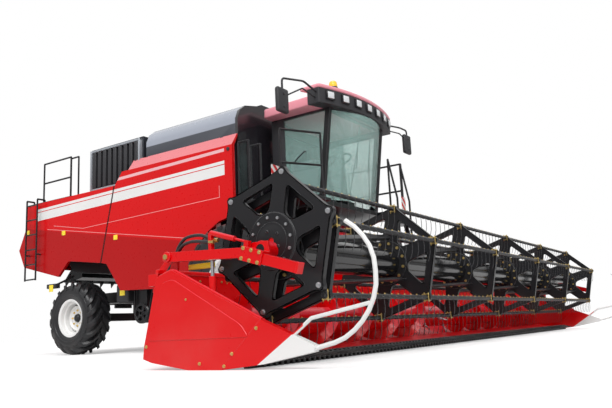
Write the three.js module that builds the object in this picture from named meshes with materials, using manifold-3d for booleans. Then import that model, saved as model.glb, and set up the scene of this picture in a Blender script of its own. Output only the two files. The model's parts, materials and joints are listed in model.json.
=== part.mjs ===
// A self-propelled combine harvester with its grain header and pickup reel, at full size.
// Millimetres. +X forwards, +Y to the machine's left, +Z up. It is drawn with the ground at
// z = 0 under the front axle, and moved at the end so that the middle of its base is the origin.
import * as THREE from "three";
import { mergeVertices } from "three/addons/utils/BufferGeometryUtils.js";
import Module from "manifold-3d";

const wasm = await Module();
wasm.setup();

// ---------------------------------------------------------------- driving dimensions
const touch = 0.3; // gap between pieces that are bolted or rest on each other
const pinGap = 0.3; // radial clearance of a pin or shaft in its hole
const swing = 6; // clearance round doors, lids and other moving pieces

const wheelbase = 3800;
const frontTyreRadius = 920;
const frontTyreWidth = 750;
const frontTrack = 3000;
const rearTyreRadius = 620;
const rearTyreWidth = 460;
const rearTrack = 2860;
const frontRimRadius = 406; // bead seat
const rearRimRadius = 305;

const bodyHalfWidth = 1650; // outside of the side panels
const panelThickness = 60;
const panelTop = 3140;
const deckTop = 2750; // top of the rear hood
const sheet = 20; // thickness of plain sheet housings

const railHeight = 190;
const railWidth = 120;
const railOffset = 760; // middle of each frame rail from the centre plane
const railBottom = frontTyreRadius - 50;

const headerHalfWidth = 4920;
const headerEndThickness = 60;
const augerX = 2085;
const augerZ = 350;
const augerRadius = 255;
const troughRadius = augerRadius + 22;
const sheetThickness = 14; // of the header's table
const headerRear = augerX - troughRadius - sheetThickness; // back of its rear sheet
const augerTubeRadius = 140;
const augerSides = 12; // of its tube, and steps in a turn of its flights
const knifeX = 2750;

const reelX = 2877;
const reelZ = 890;
const reelRadius = 557; // from the reel's axis to its tine bars
const reelBars = 6;
const reelBarAngle = 18; // of the first bar, in degrees above level
const eccentricRise = 74; // of the control plate's centre above the reel's axis
const tineBarRadius = 20;
const reelTubeRadius = 150;
const reelShaftRadius = 40;

const cabHalfWidth = 830;
const cabBack = 60;
const cabFloor = 2 * frontTyreRadius + 260;
const cabCeiling = cabFloor + 1380;
const pillarFoot = 905; // front pillar at the floor
const pillarLean = 0.14; // forward lean of the front pillars and glass

const feederPivotX = 420;
const feederPivotZ = 1600;
const feederHalf = 560;
const feederPinRadius = 40;
const feederPinReach = 60; // of each pivot pin into the feeder's side

const tankFront = -80;
const tankRear = -2050;
const tankFloor = 2 * frontTyreRadius + 360;

// ---------------------------------------------------------------- finishes
const paint = (color, roughness, metalness) =>
  new THREE.MeshStandardMaterial({ color, roughness, metalness });
const look = {
  red: paint(0xc40a0e, 0.35, 0.1),
  white: paint(0xf0efec, 0.4, 0),
  black: paint(0x1b1a1d, 0.5, 0.1),
  grey: paint(0x3a3b42, 0.55, 0.1),
  steel: paint(0x8d9096, 0.35, 0.8),
  rubber: paint(0x161617, 0.9, 0),
  glass: paint(0x9fc9c2, 0.05, 0),
  cloth: paint(0x2b2d31, 0.95, 0),
};

// ---------------------------------------------------------------- solids
const add = (...solids) => solids.reduce((a, b) => a.add(b));
const cut = (solid, ...tools) => tools.reduce((a, b) => a.subtract(b), solid);

function solidOf(geometry) {
  const bare = geometry.clone();
  bare.deleteAttribute("normal");
  bare.deleteAttribute("uv");
  const merged = mergeVertices(bare, 1e-3);
  const vertProperties = new Float32Array(merged.attributes.position.array);
  const triVerts = new Uint32Array(merged.index.array);
  const made = new wasm.Manifold(new wasm.Mesh({ numProp: 3, vertProperties, triVerts }));
  if (made.volume() > 0) return made;
  for (let i = 0; i < triVerts.length; i += 3) {
    [triVerts[i + 1], triVerts[i + 2]] = [triVerts[i + 2], triVerts[i + 1]];
  }
  return new wasm.Manifold(new wasm.Mesh({ numProp: 3, vertProperties, triVerts }));
}

function geometryOf(solid) {
  const mesh = solid.getMesh();
  const geometry = new THREE.BufferGeometry();
  geometry.setAttribute("position", new THREE.BufferAttribute(mesh.vertProperties, 3));
  geometry.setIndex(new THREE.BufferAttribute(mesh.triVerts, 1));
  geometry.computeVertexNormals();
  return geometry;
}

// A box between two values on each axis.
function block(x0, x1, y0, y1, z0, z1) {
  const box = new THREE.BoxGeometry(x1 - x0, y1 - y0, z1 - z0);
  return solidOf(box.translate((x0 + x1) / 2, (y0 + y1) / 2, (z0 + z1) / 2));
}

const shapeOf = (points) => new THREE.Shape(points.map(([a, b]) => new THREE.Vector2(a, b)));

function extrusion(points, from, to, holes, turn) {
  const shape = shapeOf(points);
  shape.holes = holes.map(shapeOf);
  const geometry = new THREE.ExtrudeGeometry(shape, { depth: to - from, bevelEnabled: false });
  return solidOf(geometry.translate(0, 0, from).applyMatrix4(turn));
}

const basis = (a, b, c) => new THREE.Matrix4().makeBasis(a, b, c);
const unitX = new THREE.Vector3(1, 0, 0);
const unitY = new THREE.Vector3(0, 1, 0);
const unitZ = new THREE.Vector3(0, 0, 1);

// Outlines drawn in the XZ, YZ and XY planes, and pushed along the third axis.
const alongY = (points, y0, y1, holes = []) =>
  extrusion(points, -y1, -y0, holes, basis(unitX, unitZ, unitY.clone().negate()));
const alongX = (points, x0, x1, holes = []) =>
  extrusion(points, x0, x1, holes, basis(unitY, unitZ, unitX));
const alongZ = (points, z0, z1, holes = []) =>
  extrusion(points, z0, z1, holes, new THREE.Matrix4());

// A round bar from one point to another.
function rod(a, b, radius, sides = 8) {
  const from = new THREE.Vector3(...a);
  const to = new THREE.Vector3(...b);
  const bar = new THREE.CylinderGeometry(radius, radius, from.distanceTo(to), sides);
  const turn = new THREE.Quaternion().setFromUnitVectors(unitY, to.clone().sub(from).normalize());
  bar.applyQuaternion(turn);
  const middle = from.add(to).multiplyScalar(0.5);
  return solidOf(bar.translate(middle.x, middle.y, middle.z));
}

// A round hole for a shaft of the same number of sides, which leaves it free to turn.
const boreRadius = (radius, sides) => (radius + pinGap) / Math.cos(Math.PI / sides);

// Round bars joined end to end, as a bent rail.
const railRadius = 17;
const rail = (points, radius = railRadius, sides = 6) =>
  add(...points.slice(1).map((point, i) => rod(points[i], point, radius, sides)));

// A square bar from one point to another, of a width across and a height.
function beam(a, b, width, height) {
  const from = new THREE.Vector3(...a);
  const to = new THREE.Vector3(...b);
  const along = to.clone().sub(from).normalize();
  const up = Math.abs(along.z) > 0.9 ? unitX : unitZ;
  const across = new THREE.Vector3().crossVectors(up, along).normalize();
  const upright = new THREE.Vector3().crossVectors(along, across);
  const box = new THREE.BoxGeometry(width, height, from.distanceTo(to));
  box.applyMatrix4(basis(across, upright, along));
  const middle = from.add(to).multiplyScalar(0.5);
  return solidOf(box.translate(middle.x, middle.y, middle.z));
}

function arc(cx, cy, radius, from, to, steps) {
  const points = [];
  for (let i = 0; i <= steps; i++) {
    const angle = THREE.MathUtils.degToRad(from + ((to - from) * i) / steps);
    points.push([cx + radius * Math.cos(angle), cy + radius * Math.sin(angle)]);
  }
  return points;
}

const round = (cx, cy, radius, sides = 8) => arc(cx, cy, radius, 0, 360, sides).slice(0, sides);

// A shape turned about a line along Y through the origin, from [radius, y] pairs.
const turned = (profile, sides, from = 0) =>
  solidOf(new THREE.LatheGeometry(profile.map(([r, y]) => new THREE.Vector2(r, y)), sides, from));

// ---------------------------------------------------------------- scene graph
const harvester = new THREE.Group();

function piece(name, solid, material, parent = harvester) {
  const mesh = new THREE.Mesh(geometryOf(solid), material);
  mesh.name = name;
  parent.add(mesh);
  return mesh;
}

const sides = [
  ["right", -1],
  ["left", 1],
];

// ---------------------------------------------------------------- wheels
const rearX = -wheelbase;
const wheelSides = 20;
const hubSides = 18;

// Turned by half a side, so that the tyre stands on a flat at its true radius.
function tyre(radius, width, bead) {
  const half = width / 2;
  const wall = 30;
  const shoulder = 0.14 * radius;
  const tread = radius / Math.cos(Math.PI / wheelSides);
  return turned(
    [
      [bead, -half + wall],
      [radius - shoulder, -half],
      [tread, -half + shoulder],
      [tread, half - shoulder],
      [radius - shoulder, half],
      [bead, half - wall],
      [bead, half - 2 * wall],
      [radius - shoulder, half - 2 * wall],
      [radius - shoulder, -half + 2 * wall],
      [bead, -half + 2 * wall],
      [bead, -half + wall],
    ],
    wheelSides,
    Math.PI / wheelSides,
  );
}

// The disc stands off the wheel's middle; the hub boss faces the axle on the side of y < 0.
function rim(bead, width, discY, hubY, boreFor) {
  const half = width / 2 - 30;
  const seat = bead - 2 * touch;
  const well = seat - 14;
  const hub = 150;
  const bore = boreRadius(boreFor, hubSides);
  return turned(
    [
      [bore, hubY],
      [hub, hubY],
      [hub, discY - 14],
      [well, discY - 14],
      [well, -half],
      [seat, -half],
      [seat, half],
      [well, half],
      [well, discY + 14],
      [bore, discY + 14],
      [bore, hubY],
    ],
    wheelSides,
    Math.PI / wheelSides,
  );
}

const frontHubFace = frontTrack / 2 - 320;
const frontStubRadius = 60;
const frontDisc = -230; // from the wheel's middle, towards the machine
const rearHubFace = rearTrack / 2 - 80;
const rearStubRadius = 36;
const rearDisc = 40;

function wheel(name, side, x, track, radius, width, bead, disc, hubFace, stub) {
  const group = new THREE.Group();
  group.position.set(x, (side * track) / 2, radius);
  group.rotation.z = side > 0 ? 0 : Math.PI;
  harvester.add(group);
  piece(name + "_tyre", tyre(radius, width, bead), look.rubber, group);
  const rimSolid = rim(bead, width, disc, hubFace + touch - track / 2, stub);
  piece(name + "_rim", rimSolid, look.white, group);
}

for (const [hand, side] of sides) {
  wheel(
    "front_wheel_" + hand,
    side,
    0,
    frontTrack,
    frontTyreRadius,
    frontTyreWidth,
    frontRimRadius,
    frontDisc,
    frontHubFace,
    frontStubRadius,
  );
  wheel(
    "rear_wheel_" + hand,
    side,
    rearX,
    rearTrack,
    rearTyreRadius,
    rearTyreWidth,
    rearRimRadius,
    rearDisc,
    rearHubFace,
    rearStubRadius,
  );
}

// ---------------------------------------------------------------- front axle
const railTop = railBottom + railHeight;
const axleTop = railBottom - touch;
const axleHeight = 170;
const axleHalfDepth = 130;
const finalDriveInner = 900;
const finalDriveOuter = frontHubFace - 90;
const liftPivotX = 150;
const liftPivotZ = 560;
const liftShaftRadius = 25;
const liftEarInner = 200;
const liftEarOuter = 230;

function frontAxle() {
  const beamSolid = block(
    -axleHalfDepth,
    axleHalfDepth,
    -finalDriveInner,
    finalDriveInner,
    axleTop - axleHeight,
    axleTop,
  );
  const parts = [beamSolid];
  for (const [, side] of sides) {
    const housing = arc(0, frontTyreRadius, railTop - frontTyreRadius - 8, 0, 180, 6).concat([
      [-axleHalfDepth - 20, axleTop - axleHeight - 40],
      [axleHalfDepth + 20, axleTop - axleHeight - 40],
    ]);
    const [near, far] = [side * finalDriveInner, side * finalDriveOuter].sort((a, b) => a - b);
    parts.push(alongY(housing, near, far));
    const z = frontTyreRadius;
    parts.push(rod([0, side * (finalDriveOuter - 10), z], [0, side * frontHubFace, z], 130, 16));
    const stubEnd = frontTrack / 2 + frontDisc + 10;
    const stub = [0, side * stubEnd, z];
    parts.push(rod([0, side * finalDriveOuter, z], stub, frontStubRadius, hubSides));
    const [inner, outer] = [side * liftEarInner, side * liftEarOuter].sort((a, b) => a - b);
    const ear = [
      [-axleHalfDepth, axleTop - axleHeight + 10],
      [-axleHalfDepth + 60, liftPivotZ - 60],
      [liftPivotX + 50, liftPivotZ - 50],
      [liftPivotX + 50, liftPivotZ + 60],
      [axleHalfDepth, axleTop - axleHeight + 10],
    ];
    const hole = round(liftPivotX, liftPivotZ, boreRadius(liftShaftRadius, hubSides), hubSides);
    parts.push(alongY(ear, inner, outer, [hole]));
  }
  return add(...parts);
}

piece("front_axle", frontAxle(), look.red);

// ---------------------------------------------------------------- frame
const bodyFront = cabBack - touch;
const frameRear = rearX - 560;

function chassisFrame() {
  const parts = [];
  for (const [, side] of sides) {
    const middle = side * railOffset;
    const half = railWidth / 2;
    parts.push(block(frameRear, bodyFront, middle - half, middle + half, railBottom, railTop));
  }
  const crossings = [-axleHalfDepth - 300, rearX + 900, rearX + 100, frameRear + 120];
  for (const x of crossings) {
    parts.push(block(x - 120, x, -railOffset, railOffset, railBottom, railTop));
  }
  // The tow hitch's plate stands behind the last cross-member.
  parts.push(block(frameRear - 30, frameRear + 10, -200, 200, railBottom - 60, railTop + 40));
  parts.push(block(frameRear - 1, frameRear + 60, -railOffset, railOffset, railBottom, railTop));
  return add(...parts);
}

piece("chassis_frame", chassisFrame(), look.black);

// ---------------------------------------------------------------- rear axle and knuckles
const kingpinY = rearTrack / 2 - 300;
const kingpinRadius = 22;
const knuckleHalf = 65;
const knuckleRadius = 55;
const earThickness = 45;
const earReach = 42;
const earHalf = 50;

function rearAxle() {
  const z = rearTyreRadius;
  const half = knuckleHalf + 3;
  const beamEnd = kingpinY - knuckleRadius - 70;
  const parts = [block(rearX - 90, rearX + 90, -beamEnd, beamEnd, z - half, z + half)];
  parts.push(block(rearX - 110, rearX + 110, -150, 150, z, railBottom - touch));
  for (const [, side] of sides) {
    const [near, far] = [side * (beamEnd - 60), side * (kingpinY + earReach)].sort((a, b) => a - b);
    for (const [low, high] of [
      [half, half + earThickness],
      [-half - earThickness, -half],
    ]) {
      const ear = block(rearX - earHalf, rearX + earHalf, near, far, z + low, z + high);
      const hole = round(rearX, side * kingpinY, boreRadius(kingpinRadius, hubSides), hubSides);
      parts.push(cut(ear, alongZ(hole, z + low - 1, z + high + 1)));
    }
  }
  return add(...parts);
}

function knuckle(side) {
  const z = rearTyreRadius;
  const y = side * kingpinY;
  const pinHalf = knuckleHalf + 3 + earThickness;
  const stubEnd = side * (rearTrack / 2 + rearDisc + 10);
  return add(
    rod([rearX, y, z - knuckleHalf], [rearX, y, z + knuckleHalf], knuckleRadius, hubSides),
    alongZ(round(rearX, y, kingpinRadius, hubSides), z - pinHalf, z + pinHalf),
    rod([rearX, y, z], [rearX, side * rearHubFace, z], 50, hubSides),
    rod([rearX, side * (rearHubFace - 40), z], [rearX, side * rearHubFace, z], 110, hubSides),
    rod([rearX, y, z], [rearX, stubEnd, z], rearStubRadius, hubSides),
  );
}

piece("rear_axle", rearAxle(), look.black);
for (const [hand, side] of sides) {
  piece("rear_knuckle_" + hand, knuckle(side), look.black);
}

// ---------------------------------------------------------------- threshing body and engine
const coreHalfWidth = frontTrack / 2 - frontTyreWidth / 2 - 85;
const coreBottom = railTop + touch;
const coreTop = tankFloor - touch;
const coreRear = rearX - 900;

function threshingBody() {
  const side = [
    [bodyFront, coreBottom],
    [rearX + 900, coreBottom],
    [rearX + 600, coreBottom + 280],
    [rearX - 700, coreBottom + 420],
    [coreRear, coreBottom + 640],
    [coreRear, coreTop],
    [bodyFront, coreTop],
  ];
  const troughHalf = railOffset - railWidth / 2 - 10;
  const sieves = [
    [-900, coreBottom + 10],
    [-1250, 800],
    [-1600, 800],
    [-1850, 980],
    [rearX + 1700, 800],
    [rearX + 1350, 800],
    [rearX + 1050, coreBottom + 10],
  ];
  const elevatorX = rearX + 1580;
  const elevatorFoot = 470;
  const parts = [
    alongY(side, -coreHalfWidth, coreHalfWidth),
    alongY(sieves, -troughHalf, troughHalf),
  ];
  // The grain elevator stands outside the right rail, the returns elevator outside the left.
  for (const [, hand] of sides) {
    const inner = hand * (coreHalfWidth - 20);
    const outer = hand * (bodyHalfWidth - panelThickness - 120);
    const [near, far] = [inner, outer].sort((a, b) => a - b);
    parts.push(block(elevatorX - 150, elevatorX + 150, near, far, coreBottom + 60, 1900));
    const foot = arc(elevatorX, elevatorFoot + 150, 150, 180, 360, 6).concat([
      [elevatorX + 150, coreBottom + 100],
      [elevatorX - 150, coreBottom + 100],
    ]);
    const [low, high] = [outer, outer - hand * 240].sort((a, b) => a - b);
    parts.push(alongY(foot, low, high));
    // A bracket on the front wall holds each pivot pin of the feeder.
    const bracket = [
      [bodyFront - 10, feederPivotZ - 220],
      [feederPivotX + 30, feederPivotZ - 80],
      [feederPivotX + 90, feederPivotZ],
      [feederPivotX + 30, feederPivotZ + 80],
      [bodyFront - 10, feederPivotZ + 160],
    ];
    const [face, back] = [hand * (feederHalf + swing), hand * (feederHalf + swing + 30)];
    parts.push(alongY(bracket, Math.min(face, back), Math.max(face, back)));
    const [root, tip] = [back, hand * (feederHalf - feederPinReach)].map((y) => [
      feederPivotX,
      y,
      feederPivotZ,
    ]);
    parts.push(rod(root, tip, feederPinRadius, hubSides));
  }
  return add(...parts);
}

piece("threshing_body", threshingBody(), look.red);

const engineFront = tankRear - 330;
piece(
  "engine_block",
  block(engineFront - 1150, engineFront, -480, 480, tankFloor, deckTop - 110),
  look.steel,
);

// ---------------------------------------------------------------- side panels
const panelFront = tankFront + 10;
const archGap = 75;
const hingeY = bodyHalfWidth - 135;
const hingeZ = panelTop;
const seamTop = rearX + 1150;
const seamFoot = rearX + 820;
const seamFootZ = 1490;
const tankHalfWidth = bodyHalfWidth - 160;
const augerStandX = -460; // upright of the unloading auger, on the left
const augerTubeR = 165;

// The panel's lower half tucks in below a crease that rises to the rear.
function tuck(side) {
  const front = new THREE.Vector3(0, 0, 1490);
  const rear = new THREE.Vector3(-4540, 0, 2230);
  const along = rear.clone().sub(front).normalize();
  const lean = THREE.MathUtils.degToRad(2.6);
  const size = 9000;
  const tool = new THREE.BoxGeometry(size, 400, size).translate(0, -200, -size / 2);
  tool.rotateX(-lean);
  tool.rotateY(-Math.atan2(along.z, along.x) - Math.PI);
  tool.translate(front.x, -bodyHalfWidth, front.z);
  const solid = solidOf(tool);
  if (side < 0) return solid;
  return solid.mirror([0, 1, 0]);
}

function panelOutline(front) {
  const arch = frontTyreRadius + archGap;
  const archStart = THREE.MathUtils.radToDeg(Math.acos(front / arch));
  return [
    [front, panelTop - 180],
    ...arc(0, frontTyreRadius, arch, archStart, 178, 5),
    [-arch - 60, 950],
    [rearX + 1310, 1000],
    [rearX + 960, 1460],
    [seamFoot, seamFootZ],
    [seamTop, deckTop - 10],
    [rearX + 1340, panelTop - 180],
  ];
}

const panelTopRear = rearX + 1490;
const lugHalf = 30; // half length of each hinge lug along the panel
const panelLugs = (front) => [tankRear + 40, front - 300];
const panelFronts = [panelFront, augerStandX - augerTubeR - 200]; // right, left

function sidePanel(side, front) {
  const outer = side * bodyHalfWidth;
  const inner = side * (bodyHalfWidth - panelThickness);
  const [near, far] = [inner, outer].sort((a, b) => a - b);
  const skin = cut(alongY(panelOutline(front), near, far), tuck(side));
  const flange = [
    [side * bodyHalfWidth, panelTop - 181],
    [side * (hingeY + 10), panelTop + 10],
    [side * (hingeY - 5), panelTop + 10],
    [side * (hingeY - 5), panelTop - 15],
    [side * (bodyHalfWidth - panelThickness), panelTop - 181],
  ];
  const notches = panelLugs(front).map((x) => {
    const [low, high] = [side * (hingeY - 40), side * (hingeY + 16)].sort((a, b) => a - b);
    const half = lugHalf + touch;
    return block(x - half, x + half, low, high, hingeZ - 40, hingeZ + 20);
  });
  return cut(add(skin, alongX(flange, panelTopRear, front)), ...notches);
}

sides.forEach(([hand, side], i) => {
  piece("side_panel_" + hand, sidePanel(side, panelFronts[i]), look.red);
});

// ---------------------------------------------------------------- rear hood
const hoodRear = rearX - 1530;
const hoodSkin = 50;
const hoodFoot = 1350; // lowest corner of its sides

function rearHood() {
  const gap = 6;
  const outer = [
    [seamTop - gap, deckTop],
    [seamFoot - gap, seamFootZ],
    [rearX - 50, 1600],
    [rearX - 330, hoodFoot],
    [hoodRear + 180, 1600],
    [hoodRear, 1930],
    [hoodRear + 190, 2290],
    [hoodRear + 220, deckTop],
  ];
  const inner = [
    [seamTop + 400, deckTop - hoodSkin],
    [seamTop + 400, 900],
    [hoodRear + 400, 900],
    [hoodRear + 230, 1640],
    [hoodRear + 70, 1930],
    [hoodRear + 245, 2290],
    [hoodRear + 270, deckTop - hoodSkin],
  ];
  const shell = alongY(outer, -bodyHalfWidth, bodyHalfWidth);
  const half = bodyHalfWidth - hoodSkin;
  const cradleX = rearX - 600;
  const cradleY = bodyHalfWidth - 90;
  const tubeBottom = panelTop + 210 - augerTubeR;
  // Posts that carry the deck on the threshing body.
  const posts = sides.map(([, side]) => {
    const [near, far] = [side * 820, side * 900].sort((a, b) => a - b);
    return block(rearX - 500, rearX - 420, near, far, tankFloor, deckTop - hoodSkin + 1);
  });
  return add(
    cut(shell, alongY(inner, -half, half), tuck(-1), tuck(1)),
    ...posts,
    block(cradleX - 50, cradleX + 50, cradleY, cradleY + 80, deckTop - 10, tubeBottom - 10),
    block(cradleX - 60, cradleX + 60, cradleY, cradleY + 240, tubeBottom - 20, tubeBottom - 5),
  );
}

piece("rear_hood", rearHood(), look.red);

// ---------------------------------------------------------------- straw chopper
const chopperZ = hoodFoot - 290;

function strawChopper() {
  const front = coreRear - touch;
  const half = 720;
  const box = [
    [front, chopperZ + 560],
    [front, coreTop - 250],
    [front - 330, coreTop - 250],
    [front - 330, chopperZ + 430],
    [front - 180, chopperZ + 320],
    [front, chopperZ + 360],
  ];
  const board = [
    [front - 315, chopperZ + 500],
    [front - 560, chopperZ + 300],
    [front - 560, chopperZ + 315],
    [front - 315, chopperZ + 560],
  ];
  const parts = [alongY(box, -half, half), alongY(board, -half, half)];
  const vane = [
    [front - 325, chopperZ + 505],
    [front - 555, chopperZ + 310],
    [front - 540, chopperZ + 210],
    [front - 325, chopperZ + 400],
  ];
  const vanes = 6;
  for (let i = 0; i < vanes; i++) {
    const y = -half + 30 + ((2 * half - 60) * i) / (vanes - 1);
    parts.push(alongY(vane, y - 5, y + 5));
  }
  return add(...parts);
}

piece("straw_chopper", strawChopper(), look.black);

// ---------------------------------------------------------------- grain tank and its lids
const lidHalf = 870;
const tankTop = 3740;
const lidThickness = 25;
const lidGap = 5;

function tankSection(inset) {
  const half = tankHalfWidth - inset;
  const shoulder = [
    [half, 3400 - inset / 3],
    [half - 60, 3540 - inset / 2],
    [half - 190, 3640 - inset],
    [lidHalf + 60, tankTop - 20 - inset],
    [lidHalf + 10, tankTop - inset],
  ];
  const right = shoulder.map(([y, z]) => [-y, z]).reverse();
  return [[half, tankFloor + inset], ...shoulder, ...right, [-half, tankFloor + inset]];
}

const standTop = panelTop - 140;
const standY = bodyHalfWidth + 50;

function grainTank() {
  const roofHole = block(
    tankRear + 70,
    tankFront - 70,
    -lidHalf + 30,
    lidHalf - 30,
    tankTop - 100,
    tankTop + 10,
  );
  const bin = cut(
    alongX(tankSection(0), tankRear, tankFront),
    alongX(tankSection(sheet), tankRear + sheet, tankFront - sheet),
    roofHole,
  );
  // The discharge box and upright of the unloading auger stand outside the left wall.
  const reach = augerTubeR + 40;
  const box = block(
    augerStandX - reach,
    augerStandX + reach,
    tankHalfWidth - sheet,
    standY + reach,
    frontTyreRadius * 2 + 140,
    tankFloor + 180,
  );
  const upright = rod([augerStandX, standY, tankFloor], [augerStandX, standY, standTop], 170, 16);
  const flange = rod(
    [augerStandX, standY, standTop - 40],
    [augerStandX, standY, standTop],
    195,
    16,
  );
  // Lugs for the side panels' hinges.
  const lugs = sides.flatMap(([, side], i) => {
    const ends = [side * (tankHalfWidth - 1), side * (hingeY + 8)].sort((a, b) => a - b);
    return panelLugs(panelFronts[i]).map((x) =>
      block(x - lugHalf, x + lugHalf, ...ends, hingeZ - 22, hingeZ + 8),
    );
  });
  return add(bin, box, upright, flange, ...lugs);
}

piece("grain_tank", grainTank(), look.grey);

for (const [hand, side] of sides) {
  const [near, far] = [side * lidGap, side * lidHalf].sort((a, b) => a - b);
  const lid = block(
    tankRear + 20,
    tankFront - 20,
    near,
    far,
    tankTop + touch,
    tankTop + lidThickness,
  );
  const lip = side * (lidGap + 30);
  const [low, high] = [side * lidGap, lip].sort((a, b) => a - b);
  const ridge = block(tankRear + 20, tankFront - 20, low, high, tankTop + 10, tankTop + 60);
  piece("tank_lid_" + hand, add(lid, ridge), look.grey);
}

// ---------------------------------------------------------------- unloading auger
function unloadingAuger() {
  const z = panelTop + 210;
  const tubeEnd = hoodRear + 150;
  const foot = [augerStandX, standY, standTop + touch];
  const elbow = new THREE.SphereGeometry(augerTubeR, 12, 8);
  return add(
    rod(foot, [augerStandX, standY, z], augerTubeR, 12),
    rod(foot, [augerStandX, standY, standTop + 40], 195, 16),
    solidOf(elbow.translate(augerStandX, standY, z)),
    rod([augerStandX, standY, z], [tubeEnd, standY, z], augerTubeR, 12),
    beam([tubeEnd + 200, standY, z - 60], [tubeEnd + 60, standY, z - 330], 260, 200),
  );
}

piece("unloading_auger", unloadingAuger(), look.red);

// ---------------------------------------------------------------- radiator housing and screen
const radiatorFront = tankRear - 80;
const radiatorRear = radiatorFront - 1330;
const radiatorOuter = -(tankHalfWidth - 10);
const radiatorInner = -300;
const radiatorFoot = deckTop + touch;
const radiatorTop = 3540;

function radiatorHousing() {
  const shell = block(
    radiatorRear,
    radiatorFront,
    radiatorOuter,
    radiatorInner,
    radiatorFoot,
    radiatorTop,
  );
  const hollow = block(
    radiatorRear + 60,
    radiatorFront - 60,
    radiatorOuter - 1,
    radiatorOuter + 160,
    radiatorFoot + 60,
    radiatorTop - 60,
  );
  // The housing stands on a sill that closes the gap in front of the hood's deck.
  const sill = block(seamTop, radiatorFront, -480, 480, deckTop - 100, radiatorFoot + 20);
  return add(cut(shell, hollow), sill);
}

function radiatorScreen() {
  return block(
    radiatorRear + 60 + touch,
    radiatorFront - 60 - touch,
    radiatorOuter - 10,
    radiatorOuter + 30,
    radiatorFoot + 60 + touch,
    radiatorTop - 60 - touch,
  );
}

piece("radiator_housing", radiatorHousing(), look.grey);
piece("radiator_screen", radiatorScreen(), look.black);

// ---------------------------------------------------------------- cab
const pillarAt = (z) => pillarFoot + pillarLean * (z - cabFloor);
const pillarSize = 70;
const frameAt = (z) => pillarAt(z) - pillarSize / 2 - 2; // front edge of the side openings
const doorRear = 300;
const sillTop = cabFloor + 80;
const wallThickness = 30;
const windowTop = cabCeiling - 60;

// The door turns on two pins outside the wall, at its rear edge.
const doorPinX = doorRear - 4;
const doorPinY = cabHalfWidth + 22;
const doorPinRadius = 8;
const doorKnuckleRadius = 15;
const doorKnuckleHeight = 60;
const doorKnuckles = [cabFloor + 260, windowTop - 320]; // underside of each

function cabFrame() {
  const floorBottom = cabFloor - 70;
  const parts = [
    block(cabBack, pillarFoot + 40, -cabHalfWidth, cabHalfWidth, floorBottom, cabFloor),
  ];
  const rearWindow = block(cabBack - 1, cabBack + 51, -520, 520, cabFloor + 600, cabFloor + 1200);
  const rear = block(
    cabBack,
    cabBack + 50,
    -cabHalfWidth,
    cabHalfWidth,
    cabFloor - 1,
    cabCeiling,
  );
  parts.push(cut(rear, rearWindow));
  for (const [, side] of sides) {
    const outer = side * cabHalfWidth;
    const inner = side * (cabHalfWidth - wallThickness);
    const [near, far] = [inner, outer].sort((a, b) => a - b);
    const door = side > 0;
    const sill = door ? cabFloor : sillTop;
    const wall = [
      [cabBack, cabFloor - 1],
      [pillarAt(cabFloor) + 40, cabFloor - 1],
      [pillarAt(cabCeiling) + 40, cabCeiling],
      [cabBack, cabCeiling],
    ];
    const opening = [
      [doorRear, sill],
      [frameAt(sill), sill],
      [frameAt(windowTop), windowTop],
      [doorRear, windowTop],
    ];
    parts.push(alongY(wall, near, far, [opening]));
    parts.push(
      beam(
        [pillarAt(cabFloor), side * (cabHalfWidth - 35), cabFloor - 1],
        [pillarAt(cabCeiling), side * (cabHalfWidth - 35), cabCeiling - 8],
        pillarSize,
        pillarSize,
      ),
    );
  }
  parts.push(
    block(
      pillarAt(cabCeiling) - 60,
      pillarAt(cabCeiling) + 10,
      -cabHalfWidth,
      cabHalfWidth,
      cabCeiling - 50,
      cabCeiling,
    ),
  );
  for (const z of doorKnuckles) {
    const lugTop = z - touch;
    const [lugRear, lugFront] = [doorPinX - 25, doorPinX + doorPinRadius + 1];
    const lugOuter = doorPinY + doorKnuckleRadius;
    parts.push(
      block(lugRear, lugFront, cabHalfWidth - 1, lugOuter, lugTop - 30, lugTop),
      doorPin(lugTop - 10, z + doorKnuckleHeight, doorPinRadius),
    );
  }
  return add(...parts);
}

const doorPin = (low, high, radius) =>
  rod([doorPinX, doorPinY, low], [doorPinX, doorPinY, high], radius, hubSides);

piece("cab_frame", cabFrame(), look.black);

// The windscreen bows forward between the front pillars and leans with them.
const screenBow = 230;

function bowedGlass(bow, low, high) {
  const half = cabHalfWidth - 78;
  const thickness = 8;
  const steps = 8;
  const bend = (offset) => {
    const points = [];
    for (let i = 0; i <= steps; i++) {
      const share = -1 + (2 * i) / steps;
      points.push([offset + bow * (1 - share * share), share * half]);
    }
    return points;
  };
  const outline = [...bend(0), ...bend(-thickness).reverse()];
  const shape = alongZ(outline, low, high);
  const lean = new THREE.Matrix4().set(1, 0, pillarLean, 0, 0, 1, 0, 0, 0, 0, 1, 0, 0, 0, 0, 1);
  const geometry = geometryOf(shape);
  geometry.translate(0, 0, -low).applyMatrix4(lean).translate(pillarAt(low) + 30, 0, low);
  return solidOf(geometry);
}

piece(
  "cab_windscreen",
  bowedGlass(screenBow, cabFloor + touch, cabCeiling - 50 - touch),
  look.glass,
);

function sideGlass(side, inset, low) {
  const rim = 10 + touch;
  const pane = [
    [doorRear + inset, low],
    [frameAt(low) - inset, low],
    [frameAt(windowTop) - inset, windowTop - inset],
    [doorRear + inset, windowTop - inset],
  ];
  const [near, far] = [side * (cabHalfWidth - rim - 6), side * (cabHalfWidth - rim)].sort(
    (a, b) => a - b,
  );
  return alongY(pane, near, far);
}

piece("cab_window_right", sideGlass(-1, touch, sillTop + touch), look.glass);

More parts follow.
